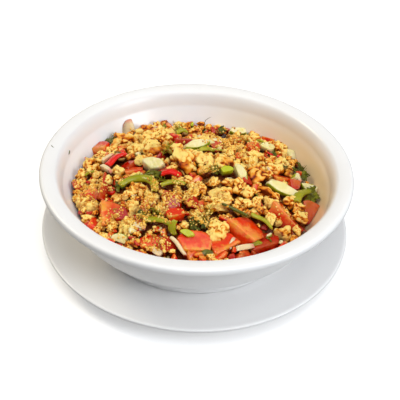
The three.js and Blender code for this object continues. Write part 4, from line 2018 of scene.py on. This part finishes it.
class Layout:
    """Works out where every piece of the heap lies."""

    sunk_share = 0.6
    surface = 3.2
    chosen_depth = 1.0

    def __init__(self, shape: HeapShape, bowl: Bowl, bed_depth: float) -> None:
        """Starts with an empty heap.

        Args:
            shape: The bare heap.
            bowl: The bowl that holds it.
            bed_depth: How far the bed lies under the bare heap.
        """
        self.shape = shape
        self.bowl = bowl
        self.relief = Relief(shape, bowl, bed_depth)
        self.juicy = JuicyPlaces()
        self.placed: list[Placed] = []

    def lay(self, bit: Bit) -> Placed:
        """Lays a chosen bit on the bare heap.

        Args:
            bit: The bit.

        Returns:
            The bit with its place.
        """
        own = (
            Matrix.Rotation(math.radians(bit.turn), 4, "Z")
            @ Matrix.Rotation(math.radians(-bit.nod), 4, "Y")
            @ Matrix.Rotation(math.radians(bit.tilt), 4, "X")
        )
        half_thick = bit.length * bit.kind.value.thickness * bit.height / 2
        base = float(self.shape.height(np.float64(bit.x), np.float64(bit.y)))
        z = base + self.surface - self.sunk_share * half_thick + bit.lift
        turn = leaning(*self.shape.slope(bit.x, bit.y), own)
        placed = Placed(bit, (bit.x * MM, bit.y * MM, z * MM), turn)
        self.placed.append(placed)
        return placed

    def kind_at(self, index: int, x: float, y: float) -> Kind:
        """Draws a kind of food for one place.

        Args:
            index: The number of the draw.
            x: The place's first coordinate.
            y: Its second one.

        Returns:
            The kind.
        """
        if self.juicy.holds(x, y) and chance(index, Draw.JUICY) < self.juicy.share:
            return Kind.TOMATO
        mark, total = chance(index, Draw.KIND), 0.0
        for kind in Kind:
            total += kind.value.share
            if mark < total:
                return kind
        return Kind.WALNUT

    def fill(self, filling: Filling, first: int) -> None:
        """Drops small pieces wherever there is room under the heap's surface.

        Args:
            filling: How they are spread.
            first: The number of the first draw.
        """
        for index in range(first, first + filling.tries):
            far = filling.radius * math.sqrt(chance(index, Draw.FAR))
            around = index * GOLDEN_ANGLE
            self.drop(filling, index, far * math.cos(around), far * math.sin(around))

    def drop(self, filling: Filling, index: int, x: float, y: float) -> None:
        """Drops one small piece, if there is room for it.

        Args:
            filling: The round it belongs to.
            index: The number of the draw.
            x: The place's first coordinate.
            y: Its second one.
        """
        kind = self.kind_at(index, x, y)
        spread = filling.largest - filling.smallest
        length = filling.smallest + spread * chance(index, Draw.LENGTH)
        length *= kind.value.slight
        half = (length / 2, length * kind.value.width / 2, length * kind.value.thickness / 2)
        turn = 2 * math.pi * chance(index, Draw.TURN)
        covered = self.relief.footprint(x, y, half, turn)
        z, *slope = self.relief.rest(covered, filling.sink)
        level = float(self.shape.height(np.float64(x), np.float64(y)))
        chosen = self.relief.chosen[self.relief.cells(np.array([[x, y]]))][0]
        crowded = chosen > level - self.chosen_depth
        if crowded and chance(index, Draw.OVER) > filling.over_chosen:
            return
        far = math.hypot(x, y)
        edge = min(max((far - filling.edge_from) / filling.edge_width, 0), 1)
        if z + half[2] > level + filling.room + edge * filling.edge_room:
            return
        if far > float(self.bowl.wall_radius(np.float64(z))) - half[1]:
            return
        self.relief.cover(covered, z, *slope)
        tilt = filling.tilt * (chance(index, Draw.TILT) - 0.5)
        own = Matrix.Rotation(turn, 4, "Z") @ Matrix.Rotation(tilt, 4, "X")
        form = int(filling.forms * chance(index, Draw.FORM))
        bit = Bit(kind, x, y, length, shade=chance(index, Draw.SHADE), form=form)
        place = (x * MM, y * MM, z * MM)
        self.placed.append(Placed(bit, place, leaning(*slope, own)))


# ---------------------------------------------------------------- copies on places

LAID_INPUTS = {"Forms": "Collection", "Finish": "Material"}


def laid(
    board: Board, points: Socket, forms: Socket, pick: Socket, turn: Socket, size: Socket
) -> Socket:
    """Adds nodes that put one of a shelf's forms on every point.

    Args:
        board: The tree's board.
        points: The points.
        forms: The collection with the forms.
        pick: The number of the form on a point.
        turn: Its turn, as angles.
        size: Its scale.

    Returns:
        The copies.
    """
    shelf = {"Collection": forms, "Separate Children": True, "Reset Children": True}
    inputs = {
        "Points": points,
        "Instance": board.add("GeometryNodeCollectionInfo", shelf).outputs[0],
        "Pick Instance": True,
        "Instance Index": pick,
        "Rotation": board.add("FunctionNodeEulerToRotation", {0: turn}).outputs[0],
        "Scale": size,
    }
    return board.add("GeometryNodeInstanceOnPoints", inputs).outputs[0]


def dressed(board: Board, copies: Socket, finish: Socket) -> Socket:
    """Adds nodes that make copies real and give them a finish.

    Args:
        board: The tree's board.
        copies: The copies.
        finish: The material.

    Returns:
        The finished pieces.
    """
    real = board.add("GeometryNodeRealizeInstances", {"Geometry": copies}).outputs[0]
    inputs = {"Geometry": real, "Material": finish}
    return board.add("GeometryNodeSetMaterial", inputs).outputs[0]


def read(board: Board, name: str, kind: str = "FLOAT") -> Socket:
    """Reads an attribute of the points in a Geometry Nodes tree."""
    node = board.add("GeometryNodeInputNamedAttribute", {"Name": name}, data_type=kind)
    return node.outputs[0]


class Scatter:
    """Lays copies of a few forms at many places, and makes one plain mesh of them."""

    def __init__(self) -> None:
        """Builds the tree: a numbered form on every point, turned and sized by the point."""
        board, given = new_group(
            "Lay pieces", "GeometryNodeTree",
            {"Places": "Geometry", **LAID_INPUTS}, {"Pieces": "Geometry"},
        )
        copies = laid(
            board, given["Places"], given["Forms"], read(board, "form", "INT"),
            read(board, "turn", "FLOAT_VECTOR"), read(board, "size", "FLOAT_VECTOR"),
        )
        board.add("NodeGroupOutput", {"Pieces": dressed(board, copies, given["Finish"])})
        self.tree = board.tree

    def lay(self, name: str, placed: list[Placed], forms: list[Form], finish: Material) -> Mesh:
        """Makes one mesh of all the copies.

        Args:
            name: The mesh's name.
            placed: The bits to lay.
            forms: The forms they choose from, at unit length.
            finish: The material.

        Returns:
            The mesh.
        """
        places = bpy.data.meshes.new(name + "_places")
        places.from_pydata([p.place for p in placed], [], [])
        lengths = [p.bit.length for p in placed]
        sizes = [
            (length * MM, length * p.bit.width * MM, length * p.bit.height * MM)
            for length, p in zip(lengths, placed)
        ]
        write_mark(places, "form", [p.bit.form % len(forms) for p in placed], "INT")
        write_mark(places, "shade", [p.bit.shade for p in placed])
        write_mark(places, "turn", [p.turn for p in placed], "FLOAT_VECTOR")
        write_mark(places, "size", sizes, "FLOAT_VECTOR")
        return grown(name, places, forms, self.tree, {"Finish": finish})


def grown(name: str, base: Mesh, forms: list[Form], tree: NodeTree, values: dict) -> Mesh:
    """Runs a tree on a mesh and gives the result as a plain mesh.

    Args:
        name: The result's name.
        base: What the tree starts from; it is used up.
        forms: The forms that it lays.
        tree: The tree.
        values: Its other inputs by name.

    Returns:
        The plain mesh.
    """
    shelf = bpy.data.collections.new(name + "_forms")
    for number, form in enumerate(forms):
        label = f"{name}_form_{number:02d}"
        shelf.objects.link(bpy.data.objects.new(label, form.to_mesh(label, 1.0)))
    carrier = bpy.data.objects.new(name + "_carrier", base)
    bpy.context.scene.collection.objects.link(carrier)
    modifier = carrier.modifiers.new("grow", "NODES")
    modifier.node_group = tree
    values = {**values, "Forms": shelf}
    for item in tree.interface.items_tree:
        if item.name in values and item.in_out == "INPUT":
            modifier[item.identifier] = values[item.name]
    graph = bpy.context.evaluated_depsgraph_get()
    result = bpy.data.meshes.new_from_object(
        carrier.evaluated_get(graph), preserve_all_data_layers=True, depsgraph=graph
    )
    result.name = name
    for thing in (carrier, *shelf.objects):
        mesh = thing.data
        bpy.data.objects.remove(thing)
        bpy.data.meshes.remove(mesh)
    bpy.data.collections.remove(shelf)
    return result


@dataclass(frozen=True)
class Grains:
    """One size class of ground walnut: grains a square metre, and sizes in millimetres."""

    name: str
    fineness: int
    density: float
    smallest: float
    largest: float
    seed: int
    forms: int = 6
    roughness: float = 0.35
    rough_scale: float = 1.7
    stretch: Triple = (1.0, 0.85, 0.7)
    first_form: float = 60.0

    def shapes(self) -> list[Form]:
        """The forms of the grains, at unit length.

        Returns:
            The forms.
        """
        ball = ball_form(self.fineness)
        shapes = []
        for number in range(self.forms):
            noise = lattice_noise(ball.corners * self.rough_scale, self.first_form + number)
            rough = (1 + self.roughness * noise)[:, None]
            corners = ball.corners * rough * np.array(self.stretch)
            shapes.append(Form(corners, ball.faces).to_unit_length())
        return shapes


class Sprinkle:
    """Ground walnut over everything that lies open to the sky."""

    least_upward = 0.2
    ray_start = (0.0, 0.0, 0.4 * MM)
    ray_length = 0.1
    skew = 2.2
    full_turn = (6.283, 6.283, 6.283)
    turn_seed, form_seed, tone_seed = 3, 5, 7

    def __init__(self) -> None:
        """Builds the tree: grains on upward faces with nothing above them."""
        board, given = new_group(
            "Sprinkle", "GeometryNodeTree",
            {
                "Ground": "Geometry", **LAID_INPUTS,
                "Density": 1e5, "Smallest": 0.5, "Largest": 1.5, "Seed": 0,
            },
            {"Grains": "Geometry"},
        )
        spots = self._open_spots(board, given)
        size = {
            0: board.math("POWER", self._draw(board, "FLOAT", 1, {"Seed": given["Seed"]}), self.skew),
            3: given["Smallest"],
            4: given["Largest"],
        }
        length = board.math("MULTIPLY", board.add("ShaderNodeMapRange", size).outputs[0], MM)
        turns = {0: (0.0, 0.0, 0.0), 1: self.full_turn, "Seed": self.turn_seed}
        turn = self._draw(board, "FLOAT_VECTOR", 0, turns)
        pick = self._draw(board, "INT", 2, {4: 0, 5: 99, "Seed": self.form_seed})
        tone = self._draw(board, "FLOAT", 1, {"Seed": self.tone_seed})
        copies = laid(board, spots, given["Forms"], pick, turn, length)
        toned = board.add(
            "GeometryNodeStoreNamedAttribute",
            {"Geometry": copies, "Name": "shade", "Value": tone},
            data_type="FLOAT",
            domain="INSTANCE",
        ).outputs[0]
        board.add("NodeGroupOutput", {"Grains": dressed(board, toned, given["Finish"])})
        self.tree = board.tree

    @staticmethod
    def _draw(board: Board, kind: str, output: int, inputs: dict) -> Socket:
        """Draws a random value for every point."""
        return board.add("FunctionNodeRandomValue", inputs, data_type=kind).outputs[output]

    def _open_spots(self, board: Board, given: bpy.types.bpy_prop_collection) -> Socket:
        """Random points on upward faces with nothing above them.

        Args:
            board: The tree's board.
            given: What the tree is given.

        Returns:
            The points.
        """
        normal = board.add("GeometryNodeInputNormal").outputs[0]
        upward = board.add("ShaderNodeSeparateXYZ", {0: normal}).outputs[2]
        spread = {
            "Mesh": given["Ground"],
            "Selection": board.math("GREATER_THAN", upward, self.least_upward),
            "Density": board.math("MULTIPLY", read(board, "sprinkle"), given["Density"]),
            "Seed": given["Seed"],
        }
        spots = board.add(
            "GeometryNodeDistributePointsOnFaces", spread, distribute_method="RANDOM"
        ).outputs[0]
        place = {0: board.add("GeometryNodeInputPosition").outputs[0], 1: self.ray_start}
        ray = board.add("GeometryNodeRaycast", {
            "Target Geometry": given["Ground"],
            "Source Position": board.add("ShaderNodeVectorMath", place, operation="ADD").outputs[0],
            "Ray Direction": (0.0, 0.0, 1.0),
            "Ray Length": self.ray_length,
        })
        covered = {"Geometry": spots, "Selection": ray.outputs["Is Hit"]}
        return board.add("GeometryNodeDeleteGeometry", covered, domain="POINT").outputs[0]

    def cast(self, grains: Grains, ground: Mesh, finish: Material) -> Mesh:
        """Sprinkles grains over a mesh.

        Args:
            grains: What is sprinkled.
            ground: What they fall on, with the mark "sprinkle".
            finish: The material.

        Returns:
            The grains as one mesh.
        """
        values = {
            "Finish": finish,
            "Density": grains.density,
            "Smallest": grains.smallest,
            "Largest": grains.largest,
            "Seed": grains.seed,
        }
        return grown(grains.name, ground.copy(), grains.shapes(), self.tree, values)


# ---------------------------------------------------------------- the heap's pieces


@dataclass(frozen=True)
class Sort:
    """What all pieces of one kind share."""

    kind: Kind
    chosen: tuple[Bit, ...]
    finish: Finish
    maker: Maker
    slot: str
    count: int = 8
    fine: int = 5
    coarse: int = 3


TOP_FINENESS = 5
GREEN = pepper("green_pepper", linear(148, 148, 8), linear(220, 208, 70))
RED = pepper("red_pepper", linear(224, 14, 4), linear(240, 60, 26))
GREEN_STRIPS = PepperMaker(StripMaker(0.24, 0.09, 0.9))
RED_STRIPS = PepperMaker(StripMaker(0.24, 0.09, 0.5))

SORTS = (
    Sort(Kind.WALNUT, WALNUTS, WALNUT, WalnutMaker(), "walnut", 12, 4),
    Sort(Kind.TOMATO, TOMATOES, TOMATO, TomatoMaker(), "tomato"),
    Sort(Kind.CUCUMBER, CUCUMBERS, CUCUMBER, CucumberMaker(), "pale_vegetable"),
    Sort(Kind.GREEN_PEPPER, GREEN_PEPPERS, GREEN, GREEN_STRIPS, "greens", 5),
    Sort(Kind.RED_PEPPER, RED_PEPPERS, RED, RED_STRIPS, "tomato", 4),
    Sort(Kind.ONION, ONIONS, ONION, OnionMaker(), "pale_vegetable", 4),
    Sort(Kind.LEAF, LEAVES, HERBS, LeafMaker(), "greens", 4),
    Sort(Kind.DILL, SPRIGS, HERBS, DillMaker(), "greens", 3),
)

GRAINS: tuple[Grains, ...] = (
    Grains("ground_walnut", 1, 8.0e5, 0.8, 2.2, 11),
    Grains("walnut_grains", 2, 6.0e4, 1.6, 3.6, 12),
)

# middle in x and y, reach, and how much more ground walnut lies there
SPRINKLED: tuple[tuple[float, float, float, float], ...] = (
    (-20, -30, 12, 2.0),
    (-26, -40, 9, 1.4),
    (-10, -28, 9, 1.0),
    (7, -38, 9, 1.4),
    (-70, -14, 11, 1.4),
    (-50, -18, 7, 0.15),
    (28, 36, 16, 0.9),
    (16, 50, 12, 0.7),
    (-24, -62, 8, 1.2),
    (-36, -52, 8, 0.6),
    (6, -4, 8, 0.5),
    (55, -30, 8, 0.12),
    (-30, 38, 10, 0.5),
    (-52, -46, 8, 0.6),
)


@dataclass
class Bed:
    """The closed body under the pieces: dressing, juice and what has sunk in."""

    depth: float = 4.0
    rings: int = 110
    rings_below: int = 12
    sectors: int = 256
    clearance: float = 0.4
    edge_guess: float = 70.0
    edge_rounds: int = 12
    roughness: float = 1.3
    lump_size: float = 5.2
    smooth_edge: float = 12.0

    def form(self, shape: HeapShape, bowl: Bowl) -> Form:
        """The bed as a closed solid that fills the bowl to a rough top.

        Args:
            shape: The bare heap.
            bowl: The bowl that holds it.

        Returns:
            The form.
        """
        angles = np.arange(self.sectors) * 2 * math.pi / self.sectors
        cosine, sine = np.cos(angles), np.sin(angles)
        edge = np.full(self.sectors, self.edge_guess)
        for _ in range(self.edge_rounds):
            level = shape.height(edge * cosine, edge * sine) - self.depth
            edge = bowl.wall_radius(level) - self.clearance
        rings = [np.zeros((1, 3))]
        for share in np.linspace(0, 1, self.rings + 1)[1:]:
            flat = [edge * share * cosine, edge * share * sine, 0 * edge]
            rings.append(np.stack(flat, axis=1))
        top = np.vstack(rings)
        x, y = top[:, 0], top[:, 1]
        lumps = np.stack([x / self.lump_size, y / self.lump_size, 0 * x], axis=1)
        rough = self.roughness * layered_noise(lumps, 3.0, 4)
        inward = np.clip((1 - np.hypot(x, y) / edge.max()) * self.smooth_edge, 0, 1)
        top[:, 2] = shape.height(x, y) - self.depth + rough * inward
        rings = [top]
        for share in np.linspace(1, 0, self.rings_below + 2)[1:-1]:
            radius = edge * share
            floor = bowl.wall_height(radius + self.clearance) + self.clearance
            rings.append(np.stack([radius * cosine, radius * sine, floor], axis=1))
        rings.append(np.array([[0.0, 0.0, bowl.floor_z + self.clearance]]))
        faces = ring_faces(self.rings + self.rings_below, self.sectors)
        return Form(np.vstack(rings), faces)


class Salad:
    """The whole heap: the bed, the pieces on it and what is sprinkled over them."""

    wall_gap = 0.3
    lip_gap = 0.1
    thin = 0.012
    patch_size = 6.0
    patch_share = 1.2
    bare = 0.02
    steep_from = 0.85
    steep_span = 1.1

    def __init__(self, bowl: Bowl, effects: Effects) -> None:
        """Gets the finishes ready.

        Args:
            bowl: The bowl that holds the heap.
            effects: The shared node groups.
        """
        self.bowl = bowl
        self.shape = HeapShape()
        self.bed = Bed()
        self.scatter = Scatter()
        finishes = {finish.name: finish for finish in (CRUMBS, BED, *(s.finish for s in SORTS))}
        self.finishes = {name: finish.build(effects) for name, finish in finishes.items()}
        self.pieces: list[Object] = []

    def build(self) -> None:
        """Makes every piece of the heap."""
        bed = self.bed.form(self.shape, self.bowl).to_mesh("salad_bed")
        self.add(bed, BED, "salad", "salad")
        layout = Layout(self.shape, self.bowl, self.bed.depth)
        top = [layout.lay(bit) for bit in TOP_WALNUTS]
        nodes = [f"walnut_{number + 1}" for number in range(len(top))]
        self.add_kind("top_walnuts", top, SORTS[0], TOP_FINENESS, *nodes)
        for sort in SORTS:
            placed = [layout.lay(bit) for bit in sort.chosen]
            self.add_kind(sort.kind.value.name + "_large", placed, sort, sort.fine, "salad")
        for piece in self.pieces:
            layout.relief.cover_mesh(piece.data)
        chosen_count, first = len(layout.placed), 0
        for filling in FILLINGS:
            layout.fill(filling, first)
            first += filling.tries
        small = layout.placed[chosen_count:]
        LOG.info("%d chosen pieces and %d small ones", chosen_count, len(small))
        for sort in SORTS:
            placed = [p for p in small if p.bit.kind is sort.kind]
            if placed:
                self.add_kind(sort.kind.value.name + "_small", placed, sort, sort.coarse, "salad")
        self.add_crumbs()
        self.mark_depth()

    def add(self, mesh: Mesh, finish: Finish, slot: str, *nodes: str) -> None:
        """Puts a piece of the heap into the scene.

        Args:
            mesh: The piece's mesh.
            finish: Its finish.
            slot: The record's material slot.
            *nodes: The solids that it stands for.
        """
        piece = show(mesh, self.finishes[finish.name])
        settle(piece, slot, *nodes)
        self.pieces.append(piece)

    def add_kind(
        self, name: str, placed: list[Placed], sort: Sort, fineness: int, *nodes: str
    ) -> None:
        """Adds pieces of one kind as one mesh.

        Args:
            name: The piece's name.
            placed: The bits.
            sort: What they are.
            fineness: How fine the forms are.
            *nodes: The solids that the piece stands for.
        """
        ball = ball_form(fineness)
        forms = [sort.maker.make(ball, seed + 1) for seed in range(sort.count)]
        mesh = self.scatter.lay(name, placed, forms, self.finishes[sort.finish.name])
        self.keep_inside(mesh)
        self.add(mesh, sort.finish, sort.slot, *nodes)

    def keep_inside(self, mesh: Mesh) -> None:
        """Presses corners that reach past the bowl's wall back to it.

        Args:
            mesh: The mesh that is changed.
        """
        corners = read_vectors(mesh.vertices) / MM
        far = np.hypot(corners[:, 0], corners[:, 1])
        limit = self.bowl.wall_radius(corners[:, 2]) - self.wall_gap
        corners[:, :2] *= np.minimum(1.0, limit / np.maximum(far, 1e-6))[:, None]
        corners[:, 2] = np.minimum(corners[:, 2], self.bowl.lip_top_z - self.lip_gap)
        mesh.vertices.foreach_set("co", (corners * MM).ravel())
        mesh.update()

    def ground(self) -> Mesh:
        """All pieces as one mesh that says how much is sprinkled where.

        Returns:
            The mesh, with the mark "sprinkle".
        """
        corners, faces, offset = [], [], 0
        for piece in self.pieces:
            mesh = piece.data
            corners.append(read_vectors(mesh.vertices))
            mesh.calc_loop_triangles()
            triangles = np.empty(len(mesh.loop_triangles) * 3, np.int32)
            mesh.loop_triangles.foreach_get("vertices", triangles)
            faces.append(triangles.reshape(-1, 3) + offset)
            offset += len(mesh.vertices)
        place = np.vstack(corners)
        ground = bpy.data.meshes.new("ground")
        ground.from_pydata(place.tolist(), [], np.vstack(faces).tolist())
        write_mark(ground, "sprinkle", self.sprinkled(place[:, 0] / MM, place[:, 1] / MM))
        return ground

    def sprinkled(self, x: Points, y: Points) -> Points:
        """How thickly ground walnut lies at places, from 0 to 1.

        Args:
            x: The places' first coordinates, in millimetres.
            y: Their second ones.

        Returns:
            One value a place.
        """
        thick = self.thin + 0 * x
        for middle_x, middle_y, reach, amount in SPRINKLED:
            away = ((x - middle_x) ** 2 + (y - middle_y) ** 2) / reach**2
            thick = thick + amount * np.exp(-away)
        spots = np.stack([x / self.patch_size, y / self.patch_size, 0 * x], axis=1)
        patches = layered_noise(spots, 21.0, 2)
        return np.clip(thick * (1 + self.patch_share * patches) - self.bare, 0, 1)

    def mark_depth(self) -> None:
        """Marks each corner with its depth between the pieces and its slope, for painted shade."""
        relief = Relief(self.shape, self.bowl, self.bed.depth)
        for piece in self.pieces:
            relief.cover_mesh(piece.data)
        for piece in self.pieces:
            mesh = piece.data
            upward = read_vectors(mesh.vertex_normals, "vector")[:, 2]
            # the depth paints shade and juice into the gaps in every food finish
            write_mark(mesh, "deep", relief.depth_of(read_vectors(mesh.vertices) / MM))
            # the slope paints steep walnut sides darker, as painted shade
            steep = np.clip((self.steep_from - upward) / self.steep_span, 0, 1)
            write_mark(mesh, "steep", steep)

    def add_crumbs(self) -> None:
        """Adds the fine crumbs and the coarser grains, both sprinkled over the same ground."""
        ground = self.ground()
        sprinkle = Sprinkle()
        for grains in GRAINS:
            mesh = sprinkle.cast(grains, ground, self.finishes[CRUMBS.name])
            self.keep_inside(mesh)
            self.add(mesh, CRUMBS, "walnut", "salad")
        bpy.data.meshes.remove(ground)


Path = tuple[Triple, ...]


@dataclass
class LooseHerbs:
    """The sprig that stands up at the back and the flecks on the bowl's lip."""

    sprig: Path = (
        (5.0, 65.5, 37.0),
        (4.6, 66.0, 42.9),
        (3.7, 66.0, 47.3),
        (4.4, 66.0, 50.0),
        (6.0, 66.0, 52.0),
        (8.6, 66.0, 53.6),
    )
    lip_fleck: Path = ((-95.6, 12.2, 60.9), (-94.9, 11.0, 60.9), (-93.6, 10.2, 60.7))
    wall_fleck: Path = ((-85.1, 17.1, 53.9), (-85.1, 15.8, 53.3), (-85.2, 14.5, 52.6))
    sprig_radius: float = 0.26
    fleck_radius: float = 0.42
    taper: tuple[Triple, Triple] = ((0.0, 0.7, 1.0), (1.0, 0.8, 0.35))
    shade: float = 0.95
    sides: int = 6
    points: int = 16

    def build(self, finish: Material) -> None:
        """Makes the sprig and the flecks and puts them in place.

        Args:
            finish: The herbs' material.
        """
        self.add("standing_sprig", self.sprig_radius, finish, self.sprig)
        self.add("lip_flecks", self.fleck_radius, finish, self.lip_fleck, self.wall_fleck)

    def add(self, name: str, radius: float, finish: Material, *paths: Path) -> None:
        """Adds tubes as one piece.

        Args:
            name: The piece's name.
            radius: The tubes' radius at their foot.
            finish: The material.
            *paths: The ways they take.
        """
        taper = np.interp(np.linspace(0, 1, self.points), *self.taper)
        lines = [self.smooth(np.array(path)) for path in paths]
        form = joined([tube_form(line, radius * taper, self.sides) for line in lines])
        form.marks["shade"] = np.full(len(form.corners), self.shade)
        settle(show(form.to_mesh(name), finish), "greens")

    def smooth(self, points: Points) -> Points:
        """A smooth line through a few points.

        Args:
            points: The points.

        Returns:
            The line's points.
        """
        share = np.linspace(0, 1, len(points))
        fine = np.linspace(0, 1, self.points)
        line = np.stack([np.interp(fine, share, points[:, axis]) for axis in range(3)], axis=1)
        for _ in range(2):
            line[1:-1] = (line[:-2] + 2 * line[1:-1] + line[2:]) / 4
        return line


# ---------------------------------------------------------------- studio


@dataclass(frozen=True)
class Light:
    """A soft square light: place and side in metres, power in watts."""

    name: str
    place: Triple
    size: float
    power: float
    colour: Triple
    target: Triple = (0.0, 0.0, 0.04)

    def build(self) -> None:
        """Hangs the light so that it points at the bowl."""
        light = bpy.data.lights.new(self.name, "AREA")
        light.size = self.size
        light.energy = self.power
        light.color = self.colour
        thing = bpy.data.objects.new(self.name, light)
        thing.location = self.place
        way = Vector(self.target) - Vector(self.place)
        thing.rotation_euler = way.to_track_quat("-Z", "Y").to_euler()
        bpy.context.scene.collection.objects.link(thing)


@dataclass
class Studio:
    """The floor, the soft lights and the camera."""

    lens: float = 67.9
    spot: Triple = (0.0, -0.39163, 0.34530)
    forward: Triple = (0.00545, 0.77903, -0.62696)
    upward: Triple = (-0.03971, 0.62664, 0.77829)
    sky: float = 0.22
    sky_colour: Colour = (0.96, 0.98, 1.0, 1.0)
    floor_half: float = 2.0
    floor_seen: Colour = (0.98, 0.98, 0.98, 1.0)
    floor_bounce: Colour = (0.4, 0.4, 0.4, 1.0)
    floor_glow: float = 0.35
    lights: tuple[Light, ...] = (
        Light("window", (0.80, -0.50, 0.50), 0.42, 4.4, (0.93, 0.96, 1.0)),
        Light("front", (0.15, -0.60, 1.15), 0.7, 5.2, (0.93, 0.96, 1.0)),
        Light("ceiling", (0.1, 0.1, 1.2), 1.2, 5.0, (1.0, 1.0, 1.0)),
        Light("lamp", (-0.85, 0.40, 0.85), 0.45, 5.0, (1.0, 0.86, 0.62)),
    )

    def build(self) -> None:
        """Sets up the whole studio."""
        self.add_floor()
        self.add_sky()
        for light in self.lights:
            light.build()
        self.add_camera()

    def add_floor(self) -> None:
        """A plain pale floor that looks whiter than the light it gives back."""
        mesh = bpy.data.meshes.new("floor")
        half = self.floor_half
        corners = [(-half, -half, 0), (half, -half, 0), (half, half, 0), (-half, half, 0)]
        mesh.from_pydata(corners, [], [(0, 1, 2, 3)])
        material = bpy.data.materials.new("floor")
        material.use_nodes = True
        board = Board(material.node_tree)
        seen = board.add("ShaderNodeLightPath").outputs["Is Camera Ray"]
        shader = board.add("ShaderNodeBsdfPrincipled", {
            "Base Color": board.mix(seen, self.floor_bounce, self.floor_seen),
            "Roughness": 0.9,
            "Emission Color": (1.0, 1.0, 1.0, 1.0),
            "Emission Strength": board.math("MULTIPLY", seen, self.floor_glow),
            "Specular IOR Level": 0.1,
        })
        board.add("ShaderNodeOutputMaterial", {"Surface": shader.outputs[0]})
        show(mesh, material)

    def add_sky(self) -> None:
        """Even white light from all round."""
        world = bpy.data.worlds.new("studio")
        bpy.context.scene.world = world
        world.use_nodes = True
        board = Board(world.node_tree)
        inputs = {"Color": self.sky_colour, "Strength": self.sky}
        light = board.add("ShaderNodeBackground", inputs)
        board.add("ShaderNodeOutputWorld", {"Surface": light.outputs[0]})

    def add_camera(self) -> None:
        """The camera at the photograph's angle."""
        camera = bpy.data.cameras.new("camera")
        camera.sensor_width = 36.0
        camera.lens = self.lens
        camera.clip_start = 0.01
        thing = bpy.data.objects.new("camera", camera)
        back = -Vector(self.forward).normalized()
        right = Vector(self.upward).cross(back).normalized()
        frame = Matrix((right, back.cross(right), back)).transposed().to_4x4()
        thing.matrix_world = Matrix.Translation(Vector(self.spot)) @ frame
        bpy.context.scene.collection.objects.link(thing)
        bpy.context.scene.camera = thing
        view = bpy.context.scene.view_settings
        view.view_transform = "Standard"
        view.look = "None"


def main() -> None:
    """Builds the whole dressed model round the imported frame."""
    logging.basicConfig(level=logging.INFO, format="%(name)s: %(message)s")
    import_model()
    effects = Effects()
    glaze = GLAZE.build(effects)
    bowl = Bowl()
    bowl.build("bowl_shell", "bowl", glaze)
    Underplate().build("underplate_shell", "underplate", glaze)
    salad = Salad(bowl, effects)
    salad.build()
    LooseHerbs().build(salad.finishes[HERBS.name])
    Studio().build()


if __name__ == "__main__":
    main()
